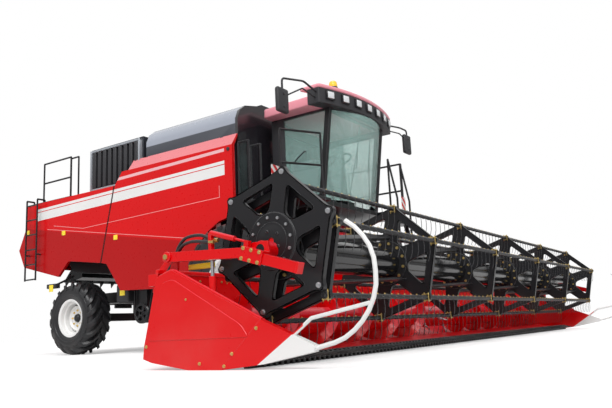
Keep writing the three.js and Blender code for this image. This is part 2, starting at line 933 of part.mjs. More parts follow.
function cabDoor() {
  const frame = 60;
  const low = cabFloor + swing;
  const high = windowTop - swing;
  const outline = [
    [doorRear + swing, low],
    [frameAt(low) - swing, low],
    [frameAt(high) - swing, high],
    [doorRear + swing, high],
  ];
  const opening = [
    [doorRear + frame, low + frame],
    [frameAt(low + frame) - frame, low + frame],
    [frameAt(high - frame) - frame, high - frame],
    [doorRear + frame, high - frame],
  ];
  const parts = [alongY(outline, cabHalfWidth - wallThickness, cabHalfWidth, [opening])];
  const bores = [];
  for (const z of doorKnuckles) {
    const top = z + doorKnuckleHeight;
    parts.push(
      doorPin(z, top, doorKnuckleRadius),
      block(doorPinX + 9, doorRear + 56, cabHalfWidth - 1, cabHalfWidth + 14, z, top),
    );
    bores.push(doorPin(z - 1, top + 1, boreRadius(doorPinRadius, hubSides)));
  }
  return cut(add(...parts), ...bores);
}

function doorGlass() {
  const inset = 60 + touch;
  const low = cabFloor + swing + inset;
  const high = windowTop - swing - inset;
  const pane = [
    [doorRear + inset, low],
    [frameAt(low) - inset, low],
    [frameAt(high) - inset, high],
    [doorRear + inset, high],
  ];
  return alongY(pane, cabHalfWidth - 18, cabHalfWidth - 12);
}

piece("cab_door", cabDoor(), look.black);
piece("cab_door_glass", doorGlass(), look.glass);

// Roof with its front visor, the mirrors on their arms and the warning lamp.
const roofHalf = 1120;
const roofFront = 1150;
const roofBow = 200;
const roofBottom = cabCeiling + touch;
const roofRim = 130;
const mirrorY = 1950;

function cabRoof() {
  const steps = 6;
  const front = [];
  for (let i = 0; i <= steps; i++) {
    const share = -1 + (2 * i) / steps;
    front.push([roofFront + roofBow * (1 - share * share), share * roofHalf]);
  }
  const bevel = 90;
  const shape = shapeOf([[cabBack - 20, -roofHalf + 70], ...front, [cabBack - 20, roofHalf - 70]]);
  const inset = { depth: roofRim, bevelThickness: bevel, bevelSize: bevel, bevelOffset: -bevel };
  const crown = new THREE.ExtrudeGeometry(shape, { ...inset, bevelSegments: 2 });
  crown.translate(0, 0, roofBottom + bevel);
  const parts = [solidOf(crown)];
  const lampX = 1020;
  const lampY = -500;
  const roofTop = roofBottom + roofRim + 2 * bevel;
  parts.push(rod([lampX, lampY, roofTop - 20], [lampX, lampY, roofTop + 140], 62, hubSides));
  for (const [, side] of sides) {
    const corner = [roofFront - 60, side * (roofHalf - 90), roofBottom + 150];
    const elbow = [1130, side * mirrorY, roofBottom + 130];
    const drop = side < 0 ? 330 : 170;
    const top = roofBottom + 130 - drop + 230;
    parts.push(rail([corner, elbow], 16));
    parts.push(rod([elbow[0], elbow[1], elbow[2] + 10], [1130, side * mirrorY, top - 250], 14, 6));
    const [near, far] = [side * (mirrorY - 110), side * (mirrorY + 110)].sort((a, b) => a - b);
    parts.push(block(1080, 1160, near, far, top - 600, top - 240));
  }
  return add(...parts);
}

piece("cab_roof", cabRoof(), look.red);

// ---------------------------------------------------------------- inside the cab
function operatorSeat() {
  const x = 430;
  return add(
    block(x - 180, x + 180, -190, 190, cabFloor + touch, cabFloor + 330),
    block(x - 260, x + 260, -260, 260, cabFloor + 320, cabFloor + 450),
    beam([x - 210, 0, cabFloor + 400], [x - 290, 0, cabFloor + 1050], 480, 110),
    block(x - 200, x + 260, -400, -290, cabFloor + 520, cabFloor + 600),
    block(x - 120, x - 40, -330, -200, cabFloor + 380, cabFloor + 560),
  );
}

function steeringColumn() {
  const foot = [pillarFoot - 40, 0, cabFloor + 30 + touch];
  const top = [pillarFoot - 140, 0, cabFloor + 760];
  const wheelRing = new THREE.TorusGeometry(190, 16, 6, 16);
  wheelRing.rotateY(THREE.MathUtils.degToRad(-22));
  wheelRing.translate(top[0], 0, top[2]);
  const spokeEnds = [
    [top[0], -190, top[2]],
    [top[0], 190, top[2]],
  ];
  return add(
    block(foot[0] - 90, foot[0] + 60, -110, 110, cabFloor + touch, cabFloor + 60),
    rod(foot, top, 38),
    solidOf(wheelRing),
    rod(...spokeEnds, 14, 6),
  );
}

piece("operator_seat", operatorSeat(), look.cloth);
piece("steering_column", steeringColumn(), look.black);

// ---------------------------------------------------------------- platforms, rails and ladders
const platformOuter = bodyHalfWidth - 50;
const platformTop = cabFloor - 10;
const platformFront = 1080;
const platformRear = cabBack - 118;
const guardTop = platformTop + 940;

// Platforms hang on the cab floor, and run on a little behind it.
function platform(side) {
  const at = (x, y, z) => [x, side * y, z];
  const deck = (x0, x1, y0, y1) => {
    const [near, far] = [side * y0, side * y1].sort((a, b) => a - b);
    return block(x0, x1, near, far, platformTop - 40, platformTop);
  };
  const parts = [
    deck(cabBack, platformFront, cabHalfWidth + touch, platformOuter),
    deck(platformRear, cabBack + 1, coreHalfWidth + 20, platformOuter),
  ];
  const foot = platformTop - 20;
  const mid = platformTop + 460;
  const railY = platformOuter - 20;
  if (side < 0) {
    // A guard rail slants across the front, and two hand rails stand at the side.
    const [inner, outer] = [
      [platformFront - 20, 1010],
      [platformFront - 330, railY],
    ];
    const over = [at(...inner, guardTop), at(...outer, guardTop)];
    parts.push(
      rail([at(...inner, foot), ...over, at(...outer, foot)]),
      rail([at(...inner, mid), at(...outer, mid)]),
    );
    for (const [x, width, top] of [
      [platformRear + 50, 200, guardTop - 50],
      [platformRear + 280, 180, guardTop - 150],
    ]) {
      const over = [at(x, railY, top), at(x + width, railY, top)];
      parts.push(rail([at(x, railY, foot), ...over, at(x + width, railY, foot)]));
    }
    return add(...parts);
  }
  // The way up is open on the left: a guard rail stands along the outer edge.
  const [rear, front] = [platformRear + 50, platformFront - 20];
  parts.push(
    rail([at(rear, railY, foot), at(rear, railY, guardTop), at(front, railY, guardTop)]),
    rail([at(front, railY, guardTop), at(front, railY, foot)]),
    rail([at(rear, railY, mid), at(front, railY, mid)]),
    ...accessLadder(),
  );
  return add(...parts);
}

// The ladder to the cab hangs from the left platform, ahead of the front wheel.
function accessLadder() {
  const inner = cabHalfWidth + 260;
  const outer = inner + 460;
  const foot = 430;
  const parts = [];
  const [topX, footX] = [platformFront - 20, platformFront + 330];
  const topZ = platformTop - 25;
  const handX = topX + 130;
  const handFoot = topZ + ((foot - topZ) * 130) / (footX - topX);
  for (const y of [inner, outer]) {
    parts.push(
      beam([topX, y, topZ], [footX, y, foot], 30, 70),
      rail([
        [topX, y, topZ],
        [topX, y, guardTop],
        [handX, y, platformTop + 250],
        [handX, y, handFoot],
      ]),
    );
  }
  const steps = 6;
  for (let i = 0; i < steps; i++) {
    const share = (i + 0.5) / steps;
    const x = topX + (footX - topX) * share;
    const z = topZ + (foot - topZ) * share;
    parts.push(block(x - 90, x + 90, inner - 10, outer + 10, z - 15, z + 15));
  }
  return parts;
}

for (const [hand, side] of sides) {
  piece("platform_" + hand, platform(side), look.black);
}

// Rear ladder on the right side of the hood, with guard rails along the engine deck.
function rearLadder() {
  const stiles = [hoodRear + 350, hoodRear + 670];
  const outerY = -(bodyHalfWidth + 90);
  const deckY = -(bodyHalfWidth - 60);
  const innerY = deckY + 280;
  const foot = 1330;
  const over = deckTop + 60;
  const tread = deckTop + touch;
  const [guardRear, guardFront] = [hoodRear + 640, hoodRear + 1430];
  const [hoopRear, hoopFront] = [hoodRear + 1050, hoodRear + 1270];
  const parts = [block(stiles[0] - 50, guardFront + 30, deckY - 20, innerY + 30, tread, tread + 20)];
  for (const x of stiles) {
    parts.push(
      rail([[x, outerY, foot], [x, outerY, over], [x, deckY, over], [x, deckY, tread + 5]]),
      rod([x, outerY, 1800], [x, -bodyHalfWidth - touch, 1800], 14, 6),
    );
  }
  const rungs = 6;
  for (let i = 0; i < rungs; i++) {
    const z = foot + 20 + ((deckTop - 60 - foot) * i) / (rungs - 1);
    parts.push(rod([stiles[0], outerY, z], [stiles[1], outerY, z], 14, 6));
  }
  const guard = (rear, front, y, height) =>
    rail([
      [rear, y, tread + 5],
      [rear, y, deckTop + height],
      [front, y, deckTop + height],
      [front, y, tread + 5],
    ]);
  parts.push(
    guard(guardRear, guardFront, deckY, 740),
    rail([[guardRear, deckY, deckTop + 370], [guardFront, deckY, deckTop + 370]]),
    guard(hoopRear, hoopFront, innerY, 830),
  );
  return add(...parts);
}

piece("rear_ladder", rearLadder(), look.black);

// ---------------------------------------------------------------- feeder house
const feederRear = 330;
const mouthTop = 690;
const mouthBottom = 140;
const liftEyeX = 1060;
const liftEyeZ = 540;
const eyeRadius = 22;
const eyeDrift = 12; // room round the rods' cross shaft, which drifts as the header lifts

function feederHouse() {
  const outline = [
    ...arc(feederPivotX, feederPivotZ, feederRear, 50, 235, 7),
    [headerRear - 100, mouthBottom + 12],
    [headerRear + 16, mouthBottom + 12],
    [headerRear + 16, mouthTop - touch],
    [headerRear - 108, mouthTop - touch],
    [headerRear - 130, 840],
  ];
  const parts = [alongY(outline, -feederHalf, feederHalf)];
  const sockets = [];
  const socketRadius = boreRadius(feederPinRadius, hubSides);
  for (const [, side] of sides) {
    const [near, far] = [side * liftEarInner, side * liftEarOuter].sort((a, b) => a - b);
    const ear = [
      [liftEyeX - 130, liftEyeZ + 240],
      [liftEyeX - 60, liftEyeZ - 50],
      [liftEyeX + 60, liftEyeZ - 50],
      [liftEyeX + 130, liftEyeZ + 60],
    ];
    const hole = round(liftEyeX, liftEyeZ, eyeRadius + eyeDrift, hubSides);
    parts.push(alongY(ear, near, far, [hole]));
    const [bottom, mouth] = [feederHalf - feederPinReach - 2, feederHalf + 1].map((y) => [
      feederPivotX,
      side * y,
      feederPivotZ,
    ]);
    sockets.push(rod(bottom, mouth, socketRadius, hubSides));
  }
  return cut(add(...parts), ...sockets);
}

piece("feeder_house", feederHouse(), look.red);

// ---------------------------------------------------------------- header lift cylinders
const cylinderY = 330;
const barrelRadius = 55;
const pistonRadius = 30;
const cylinderSides = 16;

const liftDirection = new THREE.Vector3(liftEyeX - liftPivotX, 0, liftEyeZ - liftPivotZ).normalize();
const onLift = (distance, y) => [
  liftPivotX + liftDirection.x * distance,
  y,
  liftPivotZ + liftDirection.z * distance,
];

function liftBarrels() {
  const shaft = rod(
    [liftPivotX, -cylinderY, liftPivotZ],
    [liftPivotX, cylinderY, liftPivotZ],
    liftShaftRadius,
    hubSides,
  );
  const parts = [shaft];
  for (const [, side] of sides) {
    const y = side * cylinderY;
    const barrel = rod(onLift(-70, y), onLift(640, y), barrelRadius, cylinderSides);
    const bore = boreRadius(pistonRadius, cylinderSides);
    parts.push(cut(barrel, rod(onLift(60, y), onLift(641, y), bore, cylinderSides)));
  }
  return add(...parts);
}

function liftRods() {
  const reach = Math.hypot(liftEyeX - liftPivotX, liftEyeZ - liftPivotZ);
  const shaft = rod(
    [liftEyeX, -cylinderY, liftEyeZ],
    [liftEyeX, cylinderY, liftEyeZ],
    eyeRadius,
    hubSides,
  );
  const parts = [shaft];
  for (const [, side] of sides) {
    const y = side * cylinderY;
    parts.push(rod(onLift(80, y), onLift(reach + 40, y), pistonRadius, cylinderSides));
  }
  return add(...parts);
}

piece("lift_cylinder_barrels", liftBarrels(), look.black);
piece("lift_cylinder_rods", liftRods(), look.steel);

// ---------------------------------------------------------------- header frame
const seamAt = (z) => 2545 + (395 * z) / 360; // joint of the end sheet and its divider
const lipZ = 28;
const tableHalf = headerHalfWidth - headerEndThickness;
const armY = headerHalfWidth - 70; // middle of the reel arms
const armHalf = 35;
const armPivotX = 1950;
const armPivotZ = 915;
const armPinRadius = 18;
const ramX = 2420;
const ramRadius = 15;
const ramSides = 12;
const ramBarrel = 30;

function headerFrame() {
  const back = headerRear + sheetThickness;
  const trough = arc(augerX, augerZ, troughRadius, 180, 300, 6);
  const under = arc(augerX, augerZ, troughRadius + sheetThickness, 300, 180, 6);
  const table = [
    [headerRear, 800],
    [back, 800],
    ...trough,
    [knifeX - 60, lipZ + sheetThickness],
    [knifeX + 10, lipZ + sheetThickness],
    [knifeX + 10, lipZ],
    [knifeX - 60, lipZ],
    ...under,
  ];
  const mouth = block(
    headerRear - 200,
    augerX - augerRadius,
    -feederHalf - 5,
    feederHalf + 5,
    mouthBottom,
    mouthTop,
  );
  const parts = [
    alongY(table, -tableHalf + 1, tableHalf - 1),
    block(headerRear - 100, headerRear + 1, -tableHalf, tableHalf, mouthTop, mouthTop + 100),
    block(headerRear - 90, headerRear + 1, -tableHalf, tableHalf, 150, 240),
  ];
  const body = cut(add(...parts), mouth);
  const ends = [];
  for (const [, side] of sides) {
    const outer = side * headerHalfWidth;
    const inner = side * (tableHalf - 2);
    const [near, far] = [inner, outer].sort((a, b) => a - b);
    const outline = [
      [headerRear - 100, 90],
      [headerRear - 90, 180],
      [headerRear + 60, 750],
      [2030, 800],
      [seamAt(360), 360],
      [seamAt(0), 0],
      [2210, 0],
      [headerRear, 60],
    ];
    ends.push(alongY(outline, near, far));
    // The reel arm's pivot stands on an inner cheek behind the end sheet.
    const cheek = [
      [headerRear - 100, 640],
      [armPivotX + 40, 640],
      [armPivotX + 40, armPivotZ + 40],
      [armPivotX - 40, armPivotZ + 40],
      [headerRear - 100, 760],
    ];
    const cheekInner = side * (armY - armHalf - 5);
    const cheekOuter = side * (armY - armHalf - 30);
    const [low, high] = [cheekInner, cheekOuter].sort((a, b) => a - b);
    ends.push(alongY(cheek, low, high));
    ends.push(
      rod(
        [armPivotX, cheekOuter, armPivotZ],
        [armPivotX, side * (armY + armHalf + 10), armPivotZ],
        armPinRadius,
        hubSides,
      ),
    );
    const ramY = side * armY;
    const barrel = rod([ramX, ramY, 380], [ramX, ramY, 720], ramBarrel, hubSides);
    ends.push(barrel);
    const skidMiddle = side * 2600;
    ends.push(block(augerX - 150, augerX + 150, skidMiddle - 130, skidMiddle + 130, 2, 70));
    ends.push(
      block(ramX - 60, ramX + 60, Math.min(ramY, inner), Math.max(ramY, inner), 380, 420),
    );
  }
  const bores = [];
  for (const [, side] of sides) {
    const [foot, mouth] = [422, 721].map((z) => [ramX, side * armY, z]);
    bores.push(rod(foot, mouth, boreRadius(ramRadius, ramSides), ramSides));
  }
  return cut(add(body, ...ends), ...bores);
}

piece("header_frame", headerFrame(), look.red);

// ---------------------------------------------------------------- crop dividers
const bowRadius = 17;

function divider(side) {
  const outer = side * headerHalfWidth;
  const inner = side * tableHalf;
  const [near, far] = [inner, outer].sort((a, b) => a - b);
  const nose = [
    [seamAt(360) + 2 * touch, 360],
    [3180, 260],
    [3410, 165],
    [3400, 120],
    [2950, 40],
    [seamAt(0) + 2 * touch, 0],
  ];
  const bowPoints = [
    [3380, 140],
    [3640, 210],
    [3810, 350],
    [3890, 510],
    [3900, 650],
    [3880, 780],
    [3790, 920],
    [3690, 1000],
  ];
  const y = side * (headerHalfWidth - headerEndThickness / 2);
  const path = new THREE.CatmullRomCurve3(bowPoints.map(([x, z]) => new THREE.Vector3(x, y, z)));
  const section = shapeOf(round(0, 0, bowRadius, 8));
  const bow = new THREE.ExtrudeGeometry(section, { steps: 14, extrudePath: path });
  return add(
    alongY(nose, near, far),
    solidOf(bow),
    rail(
      [
        [3200, y, 230],
        [3370, y, 350],
        [3845, y, 430],
      ],
      14,
    ),
  );
}

for (const [hand, side] of sides) {
  piece("crop_divider_" + hand, divider(side), look.white);
}

// ---------------------------------------------------------------- knife and header auger
const knifeZ = lipZ + sheetThickness + 0.5;
piece(
  "knife",
  block(knifeX - 30, knifeX + 20, -tableHalf + 130, tableHalf - 130, knifeZ, knifeZ + 6),
  look.steel,
);

// Flights wind inwards from both ends to the feeder's mouth, one right-handed and one left-handed.
function flight(from, to, hand) {
  const pitch = 720;
  const steps = Math.round((to - from) / (pitch / augerSides));
  const half = (5 + touch) * hand;
  const root = augerTubeRadius - 20;
  const section = [
    [root, -half],
    [augerRadius, -half],
    [augerRadius, half],
    [root, half],
  ];
  const places = [];
  const faces = [0, 1, 2, 0, 2, 3];
  for (let i = 0; i <= steps; i++) {
    const angle = (hand * 2 * Math.PI * (i + 0.5)) / augerSides;
    for (const [radius, offset] of section) {
      const y = from + ((to - from) * i) / steps + offset;
      places.push(augerX + radius * Math.cos(angle), y, augerZ + radius * Math.sin(angle));
    }
  }
  // Both faces of a flight are split along the same diagonals, so it keeps its thickness.
  for (let i = 0; i < 4 * steps; i += 4) {
    for (let k = 0; k < 4; k++) {
      const [a, b] = [i + k, i + ((k + 1) % 4)];
      if (k < 2) faces.push(a, b + 4, b, a, a + 4, b + 4);
      else faces.push(a, a + 4, b, b, a + 4, b + 4);
    }
  }
  const last = 4 * steps;
  faces.push(last, last + 2, last + 1, last, last + 3, last + 2);
  const geometry = new THREE.BufferGeometry();
  geometry.setAttribute("position", new THREE.Float32BufferAttribute(places, 3));
  geometry.setIndex(faces);
  return solidOf(geometry);
}

function headerAuger() {
  const end = tableHalf - 20;
  const shaftEnd = tableHalf - 2 - touch;
  return add(
    rod([augerX, -end, augerZ], [augerX, end, augerZ], augerTubeRadius, augerSides),
    flight(-end + 10, -feederHalf, 1),
    flight(feederHalf, end - 10, -1),
    rod([augerX, -shaftEnd, augerZ], [augerX, shaftEnd, augerZ], 60, 12),
  );
}

piece("header_auger", headerAuger(), look.red);

// ---------------------------------------------------------------- reel arms and sliders
const armBendX = 2720;
const armBendZ = 875;
const armTipX = 3265;
const armTipZ = 710;
const armHeight = 80;
const armDirection = new THREE.Vector2(armTipX - armBendX, armTipZ - armBendZ).normalize();
const onArm = (distance, lift) => [
  armBendX + armDirection.x * distance - armDirection.y * lift,
  armBendZ + armDirection.y * distance + armDirection.x * lift,
];
const reachCylinderLift = 95; // of the reel's fore-and-aft cylinder above the arm's middle
const reachBarrelFrom = -350;
const reachBarrelTo = -90;
const reachBarrelRadius = 22;
const reachRodRadius = 11;

function reelArm(side) {
  const y0 = armY - armHalf;
  const y1 = armY + armHalf;
  const [near, far] = [side * y0, side * y1].sort((a, b) => a - b);
  const half = armHeight / 2;
  const outline = [
    ...arc(armPivotX, armPivotZ, half, 93, 267, 6),
    onArm(0, -half),
    onArm(armDirectionLength(), -half),
    onArm(armDirectionLength(), half),
    onArm(0, half),
  ];
  const hole = round(armPivotX, armPivotZ, boreRadius(armPinRadius, hubSides), hubSides);
  const bar = alongY(outline, near, far, [hole]);
  const at = (distance) => {
    const [x, z] = onArm(distance, reachCylinderLift);
    return [x, side * armY, z];
  };
  const barrel = rod(at(reachBarrelFrom), at(reachBarrelTo), reachBarrelRadius, hubSides);
  const bore = rod(at(reachBarrelFrom + 20), at(reachBarrelTo + 1), reachRodRadius + 3, 8);
  const [standX, standZ] = onArm(reachBarrelFrom, reachCylinderLift);
  const stand = block(
    standX - 15,
    standX + 15,
    side * armY - 20,
    side * armY + 20,
    armBendZ + 10,
    standZ,
  );
  return add(bar, cut(barrel, bore), stand);
}

function armDirectionLength() {
  return Math.hypot(armTipX - armBendX, armTipZ - armBendZ);
}

// The slider saddles the arm, and its inner cheek carries the reel's bearing and, on the
// right, the round disc that the control plate turns on.
const sliderFrom = 25;
const sliderTo = 240;
const runGap = 0.5;
const controlPlateY = 4655 - 4920 + headerHalfWidth; // outer face of the control plate
const plateThickness = 15;
const discRadius = 150;
const discSides = 36;
const cheekOuterY = armY - armHalf - runGap;
const cheekInnerY = cheekOuterY - 20;

function reelSlider(side) {
  const half = armHeight / 2 + runGap;
  const strap = [
    onArm(sliderFrom, half),
    onArm(sliderTo, half),
    onArm(sliderTo, half + 18),
    onArm(sliderFrom, half + 18),
  ];
  const outerCheek = [
    onArm(sliderFrom, -half - 10),
    onArm(sliderTo, -half - 10),
    onArm(sliderTo, half + 18),
    onArm(sliderFrom, half + 18),
  ];
  const innerCheek = [
    onArm(sliderFrom, -half - 10),
    onArm(sliderTo, -half - 10),
    onArm(sliderTo, half + 18),
    [reelX + 75, reelZ + 60],
    [reelX - 75, reelZ + 60],
    onArm(sliderFrom, half + 18),
  ];
  const span = (a, b) => [side * a, side * b].sort((p, q) => p - q);
  const outerY = armY + armHalf + runGap;
  const housingEnd = side < 0 ? controlPlateY - plateThickness - 10 : controlPlateY - 60;
  const housing = rod(
    [reelX, side * (cheekInnerY + 5), reelZ],
    [reelX, side * housingEnd, reelZ],
    70,
    hubSides,
  );
  const parts = [
    alongY(strap, ...span(cheekInnerY, outerY + 12)),
    alongY(outerCheek, ...span(outerY, outerY + 12)),
    alongY(innerCheek, ...span(cheekInnerY, cheekOuterY)),
    housing,
  ];
  if (side < 0) {
    const disc = round(reelX, reelZ + eccentricRise, discRadius, discSides);
    parts.push(alongY(disc, ...span(controlPlateY - plateThickness - 10, controlPlateY + 10)));
  }
  const rodEnd = onArm(sliderFrom + 20, reachCylinderLift);
  const rodStart = onArm(reachBarrelFrom + 26, reachCylinderLift);
  parts.push(
    rod([rodStart[0], side * armY, rodStart[1]], [rodEnd[0], side * armY, rodEnd[1]], reachRodRadius),
  );
  const lugFoot = onArm(sliderFrom + 20, half + 5);
  parts.push(
    beam([lugFoot[0], side * armY, lugFoot[1]], [rodEnd[0], side * armY, rodEnd[1] + 12], 40, 40),
  );
  const shaftBore = rod(
    [reelX, side * (cheekOuterY + 1), reelZ],
    [reelX, side * (housingEnd - 1), reelZ],
    boreRadius(reelShaftRadius, hubSides),
    hubSides,
  );
  return cut(add(...parts), shaftBore);
}

for (const [hand, side] of sides) {
  piece("reel_arm_" + hand, reelArm(side), look.red);
  piece("reel_slider_" + hand, reelSlider(side), look.red);
}

// ---------------------------------------------------------------- reel lift rams
const ramTop = 845;
for (const [hand, side] of sides) {
  const y = side * armY;
  const ram = rod([ramX, y, 440], [ramX, y, ramTop], ramRadius, ramSides);
  piece("reel_ram_" + hand, ram, look.steel);
}

// ---------------------------------------------------------------- reel
const reelSpiderY = controlPlateY - plateThickness - 80; // outer face of the end spiders
const spiderThickness = 12;
const barSides = 6;
const crankThickness = 12;
const crankPinRadius = 10;
const barAngles = Array.from({ length: reelBars }, (_, i) => reelBarAngle + (360 * i) / reelBars);

const polar = (cx, cz, radius, degrees, across = 0) => {
  const angle = THREE.MathUtils.degToRad(degrees);
  return [
    cx + radius * Math.cos(angle) - across * Math.sin(angle),
    cz + radius * Math.sin(angle) + across * Math.cos(angle),
  ];
};

// A plate with a corner at each tine bar and a window between each two of its arms.
function spider(y0, y1) {
  const outline = [];
  const holes = [];
  const bore = boreRadius(tineBarRadius, barSides);
  const flat = reelRadius * Math.cos(Math.PI / reelBars);
  for (const angle of barAngles) {
    outline.push(polar(reelX, reelZ, reelRadius, angle, -42));
    outline.push(polar(reelX, reelZ, reelRadius + 40, angle, -16));
    outline.push(polar(reelX, reelZ, reelRadius + 40, angle, 16));
    outline.push(polar(reelX, reelZ, reelRadius, angle, 42));
    const between = angle + 180 / reelBars;
    holes.push([
      polar(reelX, reelZ, reelTubeRadius + 75, between, -45),
      polar(reelX, reelZ, flat - 45, between, -175),
      polar(reelX, reelZ, flat - 45, between, 175),
      polar(reelX, reelZ, reelTubeRadius + 75, between, 45),
    ]);
    holes.push(round(...polar(reelX, reelZ, reelRadius, angle), bore, barSides));
  }
  return alongY(outline, y0, y1, holes);
}

function reelRotor() {
  const parts = [
    rod([reelX, -reelSpiderY, reelZ], [reelX, reelSpiderY, reelZ], reelTubeRadius, 12),
  ];
  const spiders = 6;
  const span = reelSpiderY - spiderThickness;
  for (let i = 0; i < spiders; i++) {
    const y = -reelSpiderY + (2 * span * i) / (spiders - 1) + (i ? spiderThickness : 0);
    parts.push(spider(y - (i ? spiderThickness : 0), y + (i ? 0 : spiderThickness)));
  }
  const shaftEnd = cheekOuterY - 2;
  const shaft = rod(
    [reelX, -shaftEnd, reelZ],
    [reelX, shaftEnd, reelZ],
    reelShaftRadius,
    hubSides,
  );
  return add(...parts, shaft);
}

piece("reel_rotor", reelRotor(), look.black);

// The control plate turns about a centre above the reel's axis, and its corners carry the
// cranks, which keep every tine bar the same way up.
function controlPlate() {
  const z = reelZ + eccentricRise;
  const outline = [];
  const holes = [round(reelX, z, boreRadius(discRadius, discSides), discSides)];
  const apothem = reelRadius * Math.cos(Math.PI / reelBars);
  for (const angle of barAngles) {
    outline.push(polar(reelX, z, reelRadius, angle, -48));
    outline.push(polar(reelX, z, reelRadius + 45, angle, -20));
    outline.push(polar(reelX, z, reelRadius + 45, angle, 20));
    outline.push(polar(reelX, z, reelRadius, angle, 48));
    const between = angle + 180 / reelBars;
    holes.push([
      polar(reelX, z, discRadius + 80, between, -40),
      polar(reelX, z, apothem - 55, between, -165),
      polar(reelX, z, apothem - 55, between, 165),
      polar(reelX, z, discRadius + 80, between, 40),
    ]);
    const pin = boreRadius(crankPinRadius, barSides);
    holes.push(round(...polar(reelX, z, reelRadius, angle), pin, barSides));
  }
  return alongY(outline, -controlPlateY, -controlPlateY + plateThickness, holes);
}

piece("reel_control_plate", controlPlate(), look.black);

function tineBar(angle) {
  const [x, z] = polar(reelX, reelZ, reelRadius, angle);
  const crankY = -reelSpiderY - 20;
  const top = [x, z + eccentricRise];
  const crank = [
    ...arc(x, z, 26, 180, 360, 4),
    ...arc(top[0], top[1], 20, 0, 180, 4),
  ];
  return add(
    rod([x, crankY, z], [x, reelSpiderY + 10, z], tineBarRadius, barSides),
    alongY(crank, crankY - crankThickness, crankY + 1),
    alongY(
      round(top[0], top[1], crankPinRadius, barSides),
      -controlPlateY + 2,
      crankY,
    ),
  );
}

barAngles.forEach((angle, i) => {
  piece("tine_bar_" + (i + 1), tineBar(angle), look.steel);
});

// ---------------------------------------------------------------- origin
harvester.updateMatrixWorld(true);
const bounds = new THREE.Box3().setFromObject(harvester, true);
const middle = bounds.getCenter(new THREE.Vector3());
harvester.children.forEach((child) => {
  child.position.x -= middle.x;
  child.position.y -= middle.y;
  child.position.z -= bounds.min.z;
});

export default harvester;
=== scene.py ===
"""Looks of a self-propelled combine harvester with a grain header and a pickup reel.

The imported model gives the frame: its bodies, its nodes and its size. Paints, lamps, tread, bolts,
glass, tines and the like are made here, around that frame, in metres.
"""

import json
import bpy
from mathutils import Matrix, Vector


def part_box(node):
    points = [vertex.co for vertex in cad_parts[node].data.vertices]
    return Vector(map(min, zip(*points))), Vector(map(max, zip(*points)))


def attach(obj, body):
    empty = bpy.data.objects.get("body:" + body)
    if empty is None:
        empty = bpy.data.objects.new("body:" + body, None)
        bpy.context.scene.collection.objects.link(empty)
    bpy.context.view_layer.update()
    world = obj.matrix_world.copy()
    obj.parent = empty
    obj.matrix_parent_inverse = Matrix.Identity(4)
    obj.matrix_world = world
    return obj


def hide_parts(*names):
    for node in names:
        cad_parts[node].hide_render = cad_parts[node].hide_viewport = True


bl_info = {
    "name": "Combine harvester looks", "version": (1, 0, 0), "blender": (4, 5, 0),
    "location": "3D View > Sidebar > Harvester",
    "description": "Paints and details a combine harvester around its packed frame", "category": "Object",
}

from math import atan2, cos, pi, radians, sin

import bmesh
import bpy
from bpy.props import FloatProperty, FloatVectorProperty, IntProperty, PointerProperty
from mathutils import Matrix, Vector

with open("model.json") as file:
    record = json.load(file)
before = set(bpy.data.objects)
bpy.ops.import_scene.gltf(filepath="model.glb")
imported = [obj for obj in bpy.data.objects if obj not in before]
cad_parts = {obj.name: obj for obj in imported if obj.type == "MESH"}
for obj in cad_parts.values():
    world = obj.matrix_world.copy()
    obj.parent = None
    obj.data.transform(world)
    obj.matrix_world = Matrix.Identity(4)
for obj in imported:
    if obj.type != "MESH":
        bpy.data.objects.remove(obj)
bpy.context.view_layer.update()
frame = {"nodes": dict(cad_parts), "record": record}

SIDES = (("right", -1), ("left", 1))


def middle(node):
    low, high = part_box(node)
    return (low + high) / 2


# Places on the machine are given from the front wheels' axle line, at ground level.
AXLE_X = middle("front_wheel_right_tyre").x


def at(x, y, z):
    return Vector((AXLE_X + x, y, z))


# ------------------------------------------------------------------ mesh tools
def edges_of(verts):
    return list({edge for vert in verts for edge in vert.link_edges})


def soften(bm, edges, width, segments=2):
    bmesh.ops.bevel(
        bm, geom=edges, offset=width, offset_type="OFFSET", segments=segments, profile=0.5, affect="EDGES",
        material=-1, clamp_overlap=True,
    )


def cuboid(bm, low, high, bevel=0.0, segments=2, turn=None):
    low, high = Vector(low), Vector(high)
    size = high - low
    place = Matrix.Translation((low + high) / 2)
    if turn is not None:
        place = place @ turn
    place = place @ Matrix.Diagonal((abs(size.x), abs(size.y), abs(size.z), 1))
    verts = bmesh.ops.create_cube(bm, size=1.0, matrix=place)["verts"]
    if bevel:
        soften(bm, edges_of(verts), bevel, segments)


def cylinder(bm, start, end, radius, sides=16, tip=None, bevel=0.0):
    start, end = Vector(start), Vector(end)
    along = end - start
    turn = along.to_track_quat("Z", "Y").to_matrix().to_4x4()
    verts = bmesh.ops.create_cone(
        bm, cap_ends=True, cap_tris=False, segments=sides, radius1=radius,
        radius2=radius if tip is None else tip, depth=along.length,
        matrix=Matrix.Translation((start + end) / 2) @ turn,
    )["verts"]
    if bevel:
        rims = [e for e in edges_of(verts) if any(len(f.verts) > 4 for f in e.link_faces)]
        soften(bm, rims, bevel, 2)


def hexagon(bm, centre, normal, radius, height):
    centre, normal = Vector(centre), Vector(normal).normalized()
    cylinder(bm, centre - normal * 0.001, centre + normal * height, radius, 6)


def bolt_ring(bm, x, z, reach, count, first, face, side, radius, height):
    """Hexagons round (x, z) on a face across the machine. side is the way they stand out."""
    for k in range(count):
        bx, bz = polar(x, z, reach, 360 * k / count + first)
        hexagon(bm, (bx, face, bz), (0, side, 0), radius, height)


